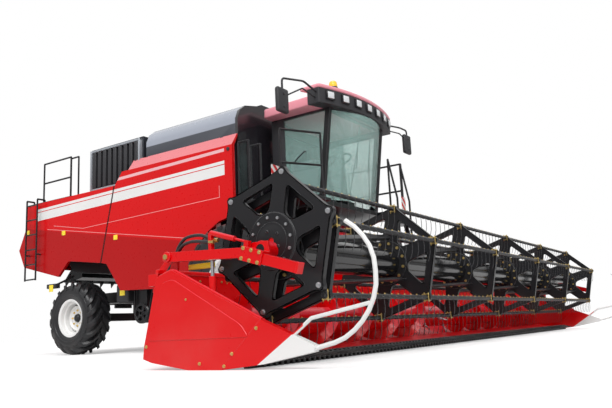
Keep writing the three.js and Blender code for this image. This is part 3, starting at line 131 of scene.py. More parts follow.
def plate(bm, outline, near, far, bevel=0.0, holes=(), flat="xz", segments=1):
    """An outline in the XZ or XY plane, pushed along the third axis, with holes."""
    level = flat == "xy"
    push = Vector((0, 0, 1)) if level else Vector((0, 1, 0))
    loops = []
    for loop in (outline, *holes):
        verts = [bm.verts.new((a, b, near) if level else (a, near, b)) for a, b in loop]
        loops += [bm.edges.new((a, b)) for a, b in zip(verts, verts[1:] + verts[:1])]
    if holes:
        filled = bmesh.ops.triangle_fill(bm, edges=loops, use_beauty=True, use_dissolve=True)
        faces = [g for g in filled["geom"] if isinstance(g, bmesh.types.BMFace)]
    else:
        faces = bmesh.ops.contextual_create(bm, geom=loops)["faces"]
    pushed = bmesh.ops.extrude_face_region(bm, geom=faces)["geom"]
    moved = [g for g in pushed if isinstance(g, bmesh.types.BMVert)]
    bmesh.ops.translate(bm, verts=moved, vec=push * (far - near))
    shell = {face for vert in moved for face in vert.link_faces} | set(faces)
    bmesh.ops.recalc_face_normals(bm, faces=list(shell))
    if bevel:
        edges = [e for e in {e for f in shell for e in f.edges} if e.calc_face_angle(0) > radians(50)]
        soften(bm, edges, bevel, segments)


def turned(bm, profile, centre, axis="y", steps=48, close=False):
    """A profile of (radius, along) pairs spun round an axis through a centre."""
    centre = Vector(centre)
    out, line = Vector((0, 0, 1)), Vector((0, 1, 0))
    if axis == "z":
        out, line = Vector((1, 0, 0)), Vector((0, 0, 1))
    verts = [bm.verts.new(centre + out * r + line * s) for r, s in profile]
    pairs = list(zip(verts, verts[1:]))
    if close:
        pairs.append((verts[-1], verts[0]))
    edges = [bm.edges.new(pair) for pair in pairs]
    before = set(bm.faces)
    bmesh.ops.spin(
        bm, geom=verts + edges, cent=centre, axis=line, angle=2 * pi, steps=steps, use_merge=True,
        use_duplicate=False,
    )
    made = [f for f in bm.faces if f not in before]
    spun = list({v for f in made for v in f.verts})
    bmesh.ops.remove_doubles(bm, verts=spun, dist=1e-05)
    made = [f for f in bm.faces if f not in before]
    bmesh.ops.recalc_face_normals(bm, faces=made)


def corner_curve(before, corner, after, reach, share, steps):
    """The curve that replaces a corner, reaching at most a share of the way to its neighbours."""
    reach = min(reach, (corner - before).length * share, (after - corner).length * share)
    start = corner + (before - corner).normalized() * reach
    end = corner + (after - corner).normalized() * reach
    spots = [i / steps for i in range(steps + 1)]
    return [start * (1 - t) ** 2 + corner * 2 * t * (1 - t) + end * t ** 2 for t in spots]


def rounded(points, bend, steps=6):
    """A route through points, with each corner replaced by a curve."""
    points = [Vector(p) for p in points]
    route = [points[0]]
    for corner in zip(points, points[1:], points[2:]):
        route += corner_curve(*corner, bend, 0.49, steps)
    return route + [points[-1]]


def smooth_route(points, per_span=8):
    """A smooth curve through every point."""
    points = [Vector(p) for p in points]
    ends = [points[0] * 2 - points[1], *points, points[-1] * 2 - points[-2]]
    route = []
    for a, b, c, d in zip(ends, ends[1:], ends[2:], ends[3:]):
        for i in range(per_span):
            t = i / per_span
            square, cube = a * 2 - b * 5 + c * 4 - d, b * 3 - a - c * 3 + d
            route.append(0.5 * (b * 2 + (c - a) * t + square * t ** 2 + cube * t ** 3))
    return route + [points[-1]]


def pipe(bm, route, radius, detail=2):
    """A round tube along a route. Its section has 4 + 2 x detail sides."""
    curve = bpy.data.curves.new("route", "CURVE")
    curve.dimensions = "3D"
    curve.bevel_depth = radius
    curve.bevel_resolution = detail
    curve.use_fill_caps = True
    spline = curve.splines.new("POLY")
    spline.points.add(len(route) - 1)
    for point, place in zip(spline.points, route):
        point.co = (*place, 1)
    holder = bpy.data.objects.new("route", curve)
    mesh = bpy.data.meshes.new_from_object(holder)
    bm.from_mesh(mesh)
    bpy.data.objects.remove(holder)
    bpy.data.curves.remove(curve)
    bpy.data.meshes.remove(mesh)


def rail(bm, points, radius=0.017, bend=0.08, detail=2):
    pipe(bm, rounded(points, bend), radius, detail)


def piece(name, bm, look, body, replaces=(), sharp=32):
    """A finished object: shaded and painted, it takes its look's slot and rides on its body."""
    mesh = bpy.data.meshes.new(name)
    bm.to_mesh(mesh)
    bm.free()
    for polygon in mesh.polygons:
        polygon.use_smooth = True
    mesh.set_sharp_from_angle(angle=radians(sharp))
    mesh.materials.append(LOOKS[look])
    made = bpy.data.objects.new(name, mesh)
    bpy.context.scene.collection.objects.link(made)
    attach(made, body)
    if replaces:
        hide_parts(*replaces)
    return made


def repeat(made, count, step):
    """Copies of a piece in a row, as an array."""
    array = made.modifiers.new("row", "ARRAY")
    array.count = count
    array.use_relative_offset = False
    array.use_constant_offset = True
    array.constant_offset_displace = step


# ------------------------------------------------------------------ shader groups
def new_group(name, inputs, outputs):
    tree = bpy.data.node_groups.new(name, "ShaderNodeTree")
    for label, kind, value in inputs:
        tree.interface.new_socket(label, in_out="INPUT", socket_type=kind).default_value = value
    for label, kind in outputs:
        tree.interface.new_socket(label, in_out="OUTPUT", socket_type=kind)
    return tree, tree.nodes.new("NodeGroupInput"), tree.nodes.new("NodeGroupOutput")


def feed(tree, node, values):
    """Sets a node's inputs, by name or number, each from a plain value or another node's output."""
    for label, value in values.items():
        if isinstance(value, bpy.types.NodeSocket):
            tree.links.new(value, node.inputs[label])
        else:
            node.inputs[label].default_value = value
    return node


def math(tree, operation, a, b=None, clamp=False):
    node = tree.nodes.new("ShaderNodeMath")
    node.operation = operation
    node.use_clamp = clamp
    return feed(tree, node, {0: a} if b is None else {0: a, 1: b}).outputs[0]


def times(tree, a, b):
    return math(tree, "MULTIPLY", a, b)


def plus(tree, a, b, clamp=False):
    return math(tree, "ADD", a, b, clamp)


def minus(tree, a, b, clamp=False):
    return math(tree, "SUBTRACT", a, b, clamp)


def noise(tree, vector, scale, detail=3.0, roughness=0.55):
    values = {"Vector": vector, "Scale": scale, "Detail": detail, "Roughness": roughness}
    return feed(tree, tree.nodes.new("ShaderNodeTexNoise"), values).outputs["Fac"]


def blend_colour(tree, share, a, b):
    node = tree.nodes.new("ShaderNodeMix")
    node.data_type = "RGBA"
    first, second = ((*c, 1) if isinstance(c, tuple) else c for c in (a, b))
    return feed(tree, node, {0: share, 6: first, 7: second}).outputs[2]


def ramp(tree, value, low, high):
    """0 below low, 1 above high, smooth between."""
    node = tree.nodes.new("ShaderNodeMapRange")
    node.interpolation_type = "SMOOTHSTEP"
    return feed(tree, node, {"Value": value, "From Min": low, "From Max": high}).outputs["Result"]


def axes_of(tree, vector):
    return feed(tree, tree.nodes.new("ShaderNodeSeparateXYZ"), {0: vector}).outputs


def place_axes(tree):
    return axes_of(tree, tree.nodes.new("ShaderNodeTexCoord").outputs["Object"])


def face_normal(tree):
    return tree.nodes.new("ShaderNodeNewGeometry").outputs["Normal"]


def make_soft_edges():
    """Rounds each edge's shading a little, and masks the edges."""
    tree, source, sink = new_group(
        "soft_edges", [("Radius", "NodeSocketFloat", 0.004)],
        [("Normal", "NodeSocketVector"), ("Edge", "NodeSocketFloat")],
    )
    bevel = tree.nodes.new("ShaderNodeBevel")
    bevel.samples = 4
    tree.links.new(source.outputs["Radius"], bevel.inputs["Radius"])
    dot = tree.nodes.new("ShaderNodeVectorMath")
    dot.operation = "DOT_PRODUCT"
    feed(tree, dot, {0: bevel.outputs["Normal"], 1: face_normal(tree)})
    turn = minus(tree, 1.0, dot.outputs["Value"])
    feed(tree, sink, {"Normal": bevel.outputs["Normal"], "Edge": ramp(tree, turn, 0.02, 0.3)})


def make_wear():
    """Blotches, dust that lies on what faces up, and mud near the ground."""
    tree, source, sink = new_group(
        "wear",
        [
            ("Color", "NodeSocketColor", (0.5, 0.5, 0.5, 1)), ("Dust", "NodeSocketFloat", 0.1),
            ("Mud", "NodeSocketFloat", 0.2), ("Roughness", "NodeSocketFloat", 0.4),
        ],
        [("Color", "NodeSocketColor"), ("Roughness", "NodeSocketFloat")],
    )
    places = tree.nodes.new("ShaderNodeTexCoord").outputs["Object"]
    broad = noise(tree, places, 1.7, 4)
    fine = noise(tree, places, 23.0, 5, 0.65)
    top = ramp(tree, axes_of(tree, face_normal(tree))["Z"], 0.3, 1.0)
    grains = ramp(tree, fine, 0.42, 0.72)
    dust = times(tree, times(tree, top, grains), source.outputs["Dust"])
    low = minus(tree, 1.0, ramp(tree, axes_of(tree, places)["Z"], 0.05, 0.9))
    patches = ramp(tree, broad, 0.45, 0.7)
    mud = times(tree, times(tree, low, patches), source.outputs["Mud"])
    value = plus(tree, times(tree, broad, 0.12), 0.94)
    shade = tree.nodes.new("ShaderNodeHueSaturation")
    feed(tree, shade, {"Color": source.outputs["Color"], "Value": value})
    share = plus(tree, dust, mud, clamp=True)
    colour = blend_colour(tree, share, shade.outputs["Color"], (0.42, 0.37, 0.31))
    grain = times(tree, minus(tree, fine, 0.5), 0.05)
    rough = plus(tree, plus(tree, source.outputs["Roughness"], grain), share, clamp=True)
    feed(tree, sink, {"Color": colour, "Roughness": rough})


def make_grain():
    """The height of a fine pebbled surface."""
    tree, source, sink = new_group(
        "grain", [("Scale", "NodeSocketFloat", 300.0)], [("Height", "NodeSocketFloat")]
    )
    places = tree.nodes.new("ShaderNodeTexCoord").outputs["Object"]
    feed(tree, sink, {"Height": noise(tree, places, source.outputs["Scale"], 4, 0.5)})


# ------------------------------------------------------------------ materials
def use_group(tree, name, **values):
    node = tree.nodes.new("ShaderNodeGroup")
    node.node_tree = bpy.data.node_groups[name]
    return feed(tree, node, values)


def worn_coat(tree, shader, base, dust, mud, rough):
    """The shader's colour and roughness, with the blotches, dust and mud of the wear group."""
    wear = use_group(tree, "wear", Color=base, Dust=dust, Mud=mud, Roughness=rough).outputs
    feed(tree, shader, {"Base Color": wear["Color"], "Roughness": wear["Roughness"]})


def bumped(tree, strength, distance, height, normal=None):
    values = {"Strength": strength, "Distance": distance, "Height": height}
    if normal is not None:
        values["Normal"] = normal
    return feed(tree, tree.nodes.new("ShaderNodeBump"), values).outputs["Normal"]


def new_material(name):
    made = bpy.data.materials.new(name)
    made.use_nodes = True
    return made, made.node_tree, made.node_tree.nodes["Principled BSDF"]


def finish(
    name, colour, rough, dust=0.1, mud=0.15, edge=0.003, metal=0.0, coat=0.0, shine=0.5, grain=(0, 0),
    edge_highlight=None,
):
    """A painted, plated or moulded finish. colour is a tuple, or makes a socket from the tree."""
    made, tree, shader = new_material(name)
    base = colour(tree) if callable(colour) else None
    edges = use_group(tree, "soft_edges", Radius=edge)
    # Painted edge highlight: the edges are blended towards a paler colour.
    if edge_highlight is not None:
        share = times(tree, edges.outputs["Edge"], edge_highlight[1])
        base = blend_colour(tree, share, base or colour, edge_highlight[0])
    worn_coat(tree, shader, base or (*colour, 1), dust, mud, rough)
    normal = edges.outputs["Normal"]
    if grain[1]:
        pebbles = use_group(tree, "grain", Scale=grain[0]).outputs["Height"]
        normal = bumped(tree, grain[1], 0.001, pebbles, normal)
    values = {"Metallic": metal, "Specular IOR Level": shine, "Coat Weight": coat, "Coat Roughness": 0.08}
    feed(tree, shader, {**values, "Normal": normal})
    return made


def band(tree, value, low, high, soft=0.002):
    """1 where a value lies between two limits."""
    rise = ramp(tree, value, low - soft, low + soft)
    fall = ramp(tree, value, high - soft, high + soft)
    return minus(tree, rise, fall, clamp=True)


def sloped(tree, u, v, start, end, width):
    """1 on a straight line from start to end, each a pair (u, v)."""
    slope = (end[1] - start[1]) / (end[0] - start[0])
    rise = times(tree, minus(tree, u, start[0]), slope)
    off = minus(tree, minus(tree, v, start[1]), rise)
    near = band(tree, off, -width / 2, width / 2, 0.0015)
    return times(tree, near, band(tree, u, start[0], end[0]))


def lit_from_above(tree, base, pale, strength):
    """A painted highlight: the slopes that face the sky are blended towards a paler colour."""
    tilted = band(tree, axes_of(tree, face_normal(tree))["Z"], 0.4, 0.97, 0.12)
    return blend_colour(tree, times(tree, tilted, strength), base, pale)


# Colours of the painted highlights on red slopes that face the sky.
SKY_HIGHLIGHT_RED = (0.86, 0.36, 0.4)
BRIGHT_HIGHLIGHT_RED = (0.86, 0.05, 0.1)
SEAM_FOOT, SEAM_TOP = (1.49, -2.983), (2.76, -2.653)  # between side panel and hood, as (z, x)
STRIPE_SLOPE = 0.0225
STRIPE_FOOT = 2.42
STRIPE_WIDTH = 0.215


def red_with_sky_highlight(paint):
    # Slopes of the red that face the sky get a painted highlight of brighter red.
    return lambda tree: lit_from_above(tree, tuple(paint.red), BRIGHT_HIGHLIGHT_RED, 0.35)


def roof_red_with_sky_highlight():
    # Painted highlight: the roof's red is painted lighter than the body's, and its slopes that face the sky
    # paler still.
    return lambda tree: lit_from_above(tree, (0.93, 0.34, 0.41), SKY_HIGHLIGHT_RED, 0.5)


def tipped_red(paint):
    """The divider's red nose, white at its tip and on the bow ahead of it."""

    def build(tree):
        x, _, z = place_axes(tree)
        x = minus(tree, x, AXLE_X)
        lean = minus(tree, x, math(tree, "DIVIDE", minus(tree, z, 0.03), 0.65))
        white = math(tree, "MAXIMUM", ramp(tree, lean, 2.885, 2.895), ramp(tree, z, 0.4, 0.41))
        white = math(tree, "MAXIMUM", white, ramp(tree, x, 3.3, 3.31))
        return blend_colour(tree, white, tuple(paint.red), tuple(paint.white))
    return build


def striped_red(paint):
    """The side's red. A white stripe with a thin red line in it climbs to the front, a pale band of painted
    highlight runs above it, painted highlights mark thin pressed lines below it, and painted shade darkens
    the sheet below the crease."""

    def build(tree):
        x, _, z = place_axes(tree)
        x = minus(tree, x, AXLE_X)
        # Painted shade: below the crease the sheet takes the red darkened.
        crease_shade_red = tuple(c * 0.66 for c in paint.red)
        fold = plus(tree, times(tree, plus(tree, x, 4.6), 0.166), z)
        sheet = blend_colour(tree, ramp(tree, fold, 2.22, 2.25), crease_shade_red, tuple(paint.red))
        # Painted highlight: slopes of the side that face the sky are blended pale, except at the very rear
        # end.
        flank_highlight = times(tree, ramp(tree, x, -5.06, -4.98), 0.55)
        sheet = lit_from_above(tree, sheet, SKY_HIGHLIGHT_RED, flank_highlight)
        climb = times(tree, plus(tree, x, 4.83), STRIPE_SLOPE)
        height = minus(tree, minus(tree, z, STRIPE_FOOT), climb)
        whole = band(tree, height, 0.0, STRIPE_WIDTH)
        line = band(tree, height, STRIPE_WIDTH - 0.062, STRIPE_WIDTH - 0.048)
        length = band(tree, x, -4.8, -0.22)
        white = times(tree, minus(tree, whole, line, clamp=True), length)
        # A pale band of painted highlight runs along the ledge above the stripe.
        upper = times(
            tree, band(tree, height, STRIPE_WIDTH + 0.137, STRIPE_WIDTH + 0.185, 0.004),
            band(tree, x, -2.97, -0.22),
        )
        # Painted highlights: the thin pressed lines below the stripe are drawn pale.
        pressed = sloped(tree, x, z, (-4.29, 2.275), (-3.46, 2.13), 0.008)
        for start, end in (((-3.46, 2.13), (-0.33, 2.204)), ((-4.48, 2.235), (-0.95, 1.67))):
            pressed = math(tree, "MAXIMUM", pressed, sloped(tree, x, z, start, end, 0.008))
        edge = times(tree, band(tree, x, -0.334, -0.326), band(tree, z, 2.2, 2.38))
        pressed = times(tree, math(tree, "MAXIMUM", pressed, edge), 0.75)
        sheet = blend_colour(tree, upper, sheet, (0.88, 0.5, 0.53))
        sheet = blend_colour(tree, pressed, sheet, (0.9, 0.5, 0.5))
        sheet = blend_colour(tree, white, sheet, tuple(paint.white))
        seam = times(tree, sloped(tree, z, x, SEAM_FOOT, SEAM_TOP, 0.036), 0.92)
        return blend_colour(tree, seam, sheet, (0.02, 0.002, 0.002))
    return build


def tank_sheet(paint):
    """A painted sky reflection makes the sheet pale above the tank's shoulder; it is charcoal below it and
    black at the front.
    """

    def build(tree):
        x, _, z = place_axes(tree)
        # Painted reflection: pale blue-grey above the shoulder.
        sides = blend_colour(
            tree, ramp(tree, z, 3.32, 3.335), tuple(c * 0.55 for c in paint.grey), (0.34, 0.37, 0.44)
        )
        front = ramp(tree, x, AXLE_X - 0.135, AXLE_X - 0.12)
        return blend_colour(tree, front, sides, (0.016, 0.014, 0.018))
    return build


def glass(name, tint, alpha):
    made, tree, shader = new_material(name)
    worn_coat(tree, shader, (*tint, 1), 0.0, 0.0, 0.04)
    feed(tree, shader, {"Alpha": alpha, "Transmission Weight": 0.5, "IOR": 1.45})
    made.surface_render_method = "BLENDED"
    return made


def lens(name, colour, glow=0.0):
    """A moulded lamp or reflector with a fine ribbed face. glow makes it shine; on a reflector that glow is
    painted light.
    """
    made, tree, shader = new_material(name)
    x, y, z = place_axes(tree)
    waves = math(tree, "SINE", times(tree, plus(tree, y, x), 600.0))
    tall = math(tree, "SINE", times(tree, z, 600.0))
    ribs = bumped(tree, 0.5, 0.002, times(tree, waves, tall))
    worn_coat(tree, shader, (*colour, 1), 0.0, 0.0, 0.15)
    feed(tree, shader, {"Coat Weight": 0.6, "Normal": ribs})
    if glow:
        feed(tree, shader, {"Emission Color": (*colour, 1), "Emission Strength": glow})
    return made


def warning_stripes():
    """Red and white diagonal bands."""

    def build(tree):
        _, y, z = place_axes(tree)
        across = times(tree, plus(tree, y, z), 7.0)
        share = band(tree, math(tree, "FRACT", across), 0.0, 0.5, 0.01)
        return blend_colour(tree, share, (0.85, 0.85, 0.83), (0.68, 0.02, 0.02))
    return build


LOOKS = {}


def make_looks(paint):
    red, white, black, grey = (tuple(c) for c in (paint.red, paint.white, paint.black, paint.grey))
    # Painted shade: the red darkened, for the front axle under the machine.
    dark_red = tuple(c * 0.62 for c in red)
    bare = (0.55, 0.56, 0.58)
    fresh_paint = {
        "rough": 0.28, "dust": 0.04, "mud": 0.05, "coat": 0.25, "shine": 0.3, "grain": (260, 0.05),
        # The pale pink on the edges is a painted edge highlight.
        "edge_highlight": ((0.9, 0.3, 0.32), 0.5),
    }
    LOOKS.update(
        red=finish("red_paint", red_with_sky_highlight(paint), **fresh_paint),
        striped=finish("striped_paint", striped_red(paint), **fresh_paint),
        roof=finish("roof_paint", roof_red_with_sky_highlight(), 0.3, dust=0.02, mud=0.0, coat=0.3, grain=(260, 0.05)),
        tipped=finish("divider_paint", tipped_red(paint), 0.3, dust=0.02, mud=0.1, coat=0.2, shine=0.3),
        charcoal=finish("charcoal_paint", tuple(c * 0.3 for c in grey), 0.35, coat=0.2, grain=(240, 0.08)),
        tank=finish("tank_paint", tank_sheet(paint), 0.25, dust=0.1, coat=0.5, grain=(240, 0.06)),
        dull_red=finish("shaded_red_paint", dark_red, 0.45, dust=0.2, mud=0.4, grain=(200, 0.1)),
        white=finish("white_paint", white, 0.32, coat=0.3, mud=0.3, grain=(220, 0.08)),
        black=finish(
            "black_paint", black, 0.32, dust=0.06, mud=0.08, coat=0.15, shine=0.35, grain=(240, 0.12),
            # The grey on the edges is a painted edge highlight.
            edge_highlight=((0.5, 0.5, 0.52), 0.7),
        ),
        gloss=finish(
            "gloss_black_paint", tuple(c * 0.6 for c in black), 0.14, coat=0.5, dust=0.03, shine=0.4
        ),
        # The lighter grey on the edges is a painted edge highlight.
        grey=finish("grey_paint", grey, 0.36, coat=0.2, grain=(240, 0.08), edge_highlight=((0.4, 0.42, 0.45), 0.3)),
        pale=finish("pale_grey_sheet", (0.45, 0.48, 0.52), 0.33, metal=0.4, grain=(200, 0.06)),
        steel=finish("bare_steel", bare, 0.32, metal=0.9, grain=(500, 0.15)),
        bright=finish("polished_rod", (0.8, 0.8, 0.82), 0.08, metal=1.0, dust=0.0, mud=0.0),
        zinc=finish("yellow_zinc", (0.75, 0.55, 0.2), 0.3, metal=0.9, dust=0.05),
        rubber=finish(
            "tyre_rubber", (0.014, 0.014, 0.016), 0.42, dust=0.05, mud=0.08, coat=0.12, grain=(180, 0.5)
        ),
        hose=finish("hose_rubber", (0.02, 0.02, 0.022), 0.45, grain=(400, 0.3)),
        plastic=finish("moulded_plastic", (0.03, 0.03, 0.034), 0.55, grain=(700, 0.35)),
        lining=finish("cab_lining", (0.16, 0.17, 0.18), 0.7, dust=0.0, grain=(500, 0.4)),
        cloth=finish("seat_fabric", (0.05, 0.06, 0.08), 0.9, dust=0.0, mud=0.0, grain=(900, 0.9)),
        yellow=finish("yellow_paint", (0.95, 0.72, 0.02), 0.4, grain=(240, 0.1)),
        amber=lens("amber_lens", (0.95, 0.35, 0.02)), beacon=lens("beacon_lens", (1.0, 0.6, 0.02), 0.2),
        tail=lens("red_lens", (0.7, 0.01, 0.01)), lamp=lens("clear_lens", (0.85, 0.88, 0.9)),
        # The yellow reflector's slight glow is painted light: a reflector is no lamp.
        reflector=lens("yellow_reflector", (0.98, 0.75, 0.03), 0.15),
        mirror=finish("mirror_face", (0.8, 0.83, 0.85), 0.03, metal=1.0, dust=0.0, mud=0.0),
        warning=finish("warning_board", warning_stripes(), 0.35),
        glass=glass("cab_glass", tuple(paint.glass), 0.45),
    )


NODE_LOOKS = {
    "side_panel_right": "striped", "side_panel_left": "striped", "rear_hood": "striped",
    "threshing_body": "black", "grain_tank": "tank", "tank_lid_right": "charcoal",
    "tank_lid_left": "charcoal", "crop_divider_right": "tipped", "crop_divider_left": "tipped",
    "radiator_housing": "charcoal", "radiator_screen": "black", "front_axle": "dull_red",
}
SLOT_LOOKS = {
    "red_paint": "red", "white_paint": "white", "black_paint": "black", "grey_paint": "grey",
    "bare_steel": "steel", "tyre_rubber": "rubber", "cab_glass": "glass", "seat_cloth": "cloth",
}


def make_smoothing():
    """Merges a node's loose triangles for shading and keeps its real edges sharp."""
    tree = bpy.data.node_groups.new("smooth_by_angle", "GeometryNodeTree")
    tree.interface.new_socket("Geometry", in_out="INPUT", socket_type="NodeSocketGeometry")
    tree.interface.new_socket("Geometry", in_out="OUTPUT", socket_type="NodeSocketGeometry")
    source = tree.nodes.new("NodeGroupInput")
    sink = tree.nodes.new("NodeGroupOutput")
    merge = tree.nodes.new("GeometryNodeMergeByDistance")
    merge.inputs["Distance"].default_value = 1e-05
    smooth = tree.nodes.new("GeometryNodeSetShadeSmooth")
    smooth.domain = "FACE"
    angle = tree.nodes.new("GeometryNodeInputMeshEdgeAngle")
    compare = tree.nodes.new("FunctionNodeCompare")
    compare.operation = "GREATER_THAN"
    compare.inputs["B"].default_value = radians(31)
    edges = tree.nodes.new("GeometryNodeSetShadeSmooth")
    edges.domain = "EDGE"
    edges.inputs["Shade Smooth"].default_value = False
    tree.links.new(source.outputs[0], merge.inputs["Geometry"])
    tree.links.new(merge.outputs["Geometry"], smooth.inputs["Geometry"])
    tree.links.new(smooth.outputs["Geometry"], edges.inputs["Geometry"])
    tree.links.new(angle.outputs["Unsigned Angle"], compare.inputs["A"])
    tree.links.new(compare.outputs["Result"], edges.inputs["Selection"])
    tree.links.new(edges.outputs["Geometry"], sink.inputs[0])
    return tree


# ------------------------------------------------------------------ settings
def colour_setting(name, description, default):
    return FloatVectorProperty(name=name, description=description, subtype="COLOR", size=3, default=default)


class HarvesterPaint(bpy.types.PropertyGroup):
    red: colour_setting("Red", "Body paint", (0.72, 0.0, 0.002))
    white: colour_setting("White", "Stripe and wheel paint", (0.85, 0.85, 0.84))
    black: colour_setting("Black", "Frames and reel", (0.014, 0.014, 0.016))
    grey: colour_setting("Grey", "Grain tank", (0.09, 0.1, 0.13))
    glass: colour_setting("Glass", "Tint of the cab's glass", (0.66, 1.0, 0.93))


class HarvesterTyres(bpy.types.PropertyGroup):
    front_lugs: IntProperty(
        name="Front lugs", description="Lugs on each side of a front tyre", default=21, min=3
    )
    rear_lugs: IntProperty(
        name="Rear lugs", description="Lugs on each side of a rear tyre", default=18, min=3
    )
    lug_height: FloatProperty(
        name="Lug height", description="Height of a lug above the tread", default=0.052, min=0,
        subtype="DISTANCE",
    )


class HarvesterReel(bpy.types.PropertyGroup):
    tine_spacing: FloatProperty(
        name="Tine spacing", description="From one tine to the next", default=0.13, min=0.02,
        subtype="DISTANCE",
    )
    tine_length: FloatProperty(
        name="Tine length", description="Below the tine bar", default=0.21, min=0.02, subtype="DISTANCE"
    )


class HarvesterStage(bpy.types.PropertyGroup):
    key: FloatProperty(name="Key light", description="Strength of the sun lamp", default=2.2, min=0)
    fill: FloatProperty(name="Fill light", description="Strength of the sky", default=0.5, min=0)
    walls: FloatProperty(
        name="Walls", description="Brightness of the room's walls in reflections", default=0.3, min=0, max=1
    )
    floor: FloatProperty(name="Floor", description="Grey of the floor", default=0.8, min=0, max=1)


# ------------------------------------------------------------------ operators
class HARVESTER_OT_paint(bpy.types.Operator):
    """Gives every node of the frame its paint"""
    bl_idname = "harvester.paint"
    bl_label = "Paint the frame"

    def execute(self, context):
        make_soft_edges()
        make_wear()
        make_grain()
        make_looks(context.scene.harvester_paint)
        smoothing = make_smoothing()
        slots = {part["node"]: part["material_slot"] for part in frame["record"]["subparts"]}
        for name, node in frame["nodes"].items():
            look = LOOKS[NODE_LOOKS.get(name, SLOT_LOOKS[slots[name]])]
            node.data.materials.clear()
            node.data.materials.append(look)
            node.modifiers.new("shading", "NODES").node_group = smoothing
        return {"FINISHED"}


class HARVESTER_OT_stage(bpy.types.Operator):
    """Sets the floor, the lights and the camera"""
    bl_idname = "harvester.stage"
    bl_label = "Set the stage"

    def execute(self, context):
        settings = context.scene.harvester_stage
        make_floor(settings)
        make_light(settings)
        make_camera()
        return {"FINISHED"}


def ray_kinds(tree):
    """What looks at the background: the camera (or a pane of glass), and a reflection."""
    rays = tree.nodes.new("ShaderNodeLightPath").outputs
    direct = plus(tree, rays["Is Camera Ray"], rays["Is Transmission Ray"], clamp=True)
    return direct, rays["Is Glossy Ray"]


FLOOR_LIFT = 0.35  # what the floor adds, as seen directly
KEY_AIM = (-0.55, 0.85, -1.15)
KEY_SPREAD = 42
CAMERA_TURN = (123.993, 10.501, -2.767)  # yaw, pitch and roll in degrees
CAMERA_LENS = 38.667


def make_floor(settings):
    bm = bmesh.new()
    bmesh.ops.create_grid(bm, x_segments=2, y_segments=2, size=60)
    mesh = bpy.data.meshes.new("floor")
    bm.to_mesh(mesh)
    bm.free()
    floor = bpy.data.objects.new("floor", mesh)
    made, tree, shader = new_material("floor_paint")
    direct, _ = ray_kinds(tree)
    feed(
        tree, shader,
        {
            "Base Color": (settings.floor, settings.floor, settings.floor, 1), "Roughness": 0.9,
            "Specular IOR Level": 0.0, "Emission Color": (1, 1, 1, 1),
            "Emission Strength": times(tree, direct, FLOOR_LIFT),
        },
    )
    mesh.materials.append(made)
    bpy.context.scene.collection.objects.link(floor)


def make_light(settings):
    """A white room. Reflections see it white overhead and greyer towards the floor."""
    world = bpy.data.worlds.new("studio")
    bpy.context.scene.world = world
    world.use_nodes = True
    tree = world.node_tree
    direct, glossy = ray_kinds(tree)
    way = axes_of(tree, tree.nodes.new("ShaderNodeTexCoord").outputs["Generated"])
    rise = times(tree, ramp(tree, way["Z"], 0.1, 0.75), 1.0 - settings.walls)
    mirrored = times(tree, plus(tree, rise, settings.walls - settings.fill), glossy)
    extra = times(tree, direct, 1.0 - settings.fill)
    total = plus(tree, plus(tree, extra, settings.fill), mirrored)
    feed(tree, tree.nodes["Background"], {"Color": (1, 1, 1, 1), "Strength": total})
    sun = bpy.data.lights.new("key", "SUN")
    sun.energy = settings.key
    sun.angle = radians(KEY_SPREAD)
    lamp = bpy.data.objects.new("key", sun)
    lamp.location = (6, -8, 12)
    lamp.rotation_euler = Vector(KEY_AIM).to_track_quat("-Z", "Y").to_euler()
    bpy.context.scene.collection.objects.link(lamp)


def make_camera():
    """Stands low, ahead of the machine's right front corner."""
    yaw, pitch, roll = (radians(turn) for turn in CAMERA_TURN)
    forward = Vector((cos(yaw) * cos(pitch), sin(yaw) * cos(pitch), sin(pitch)))
    level = Vector((sin(yaw), -cos(yaw), 0))
    above = level.cross(forward)
    right = level * cos(roll) + above * sin(roll)
    up = above * cos(roll) - level * sin(roll)
    data = bpy.data.cameras.new("camera")
    data.sensor_width = 36
    data.lens = CAMERA_LENS
    data.clip_end = 300
    camera = bpy.data.objects.new("camera", data)
    turn = Matrix((right, up, -forward)).transposed()
    camera.matrix_world = Matrix.Translation(at(5.975, -8.75, 0.298)) @ turn.to_4x4()
    bpy.context.scene.collection.objects.link(camera)
    bpy.context.scene.camera = camera


# ------------------------------------------------------------------ outlines
def add_mesh(bm, other):
    """Adds a mesh made apart to bm."""
    held = bpy.data.meshes.new("held")
    other.to_mesh(held)
    other.free()
    bm.from_mesh(held)
    bpy.data.meshes.remove(held)


def soft_loop(points, radius, steps=4):
    """A closed outline in two directions, with each corner rounded."""
    points = [Vector(p) for p in points]
    loop = []
    for corner in zip(points[-1:] + points, points, points[1:] + points[:1]):
        loop += [tuple(place) for place in corner_curve(*corner, radius, 0.48, steps)]
    return loop


def polar(x, z, radius, degrees_up, across=0.0):
    """The place at a radius and angle round a point, moved across that radius."""
    angle = radians(degrees_up)
    return x + radius * cos(angle) - across * sin(angle), z + radius * sin(angle) + across * cos(angle)


def beam(bm, start, end, width, depth, outwards, bevel=0.0):
    """A flat bar from start to end, its width across and its depth along outwards."""
    start, end, outwards = Vector(start), Vector(end), Vector(outwards)
    along = (end - start).normalized()
    across = outwards.cross(along).normalized()
    normal = along.cross(across).normalized()
    turn = Matrix((along, across, normal)).transposed().to_4x4()
    size = Matrix.Diagonal(((end - start).length, width, depth, 1))
    place = Matrix.Translation((start + end) / 2) @ turn @ size
    verts = bmesh.ops.create_cube(bm, size=1.0, matrix=place)["verts"]
    if bevel:
        soften(bm, edges_of(verts), bevel, 1)


# ------------------------------------------------------------------ wheels
def tread_drop(share):
    """How far the tread falls towards the shoulder, by the share of the half width."""
    return 0.085 * max(0.0, (share - 0.62) / 0.38) ** 2


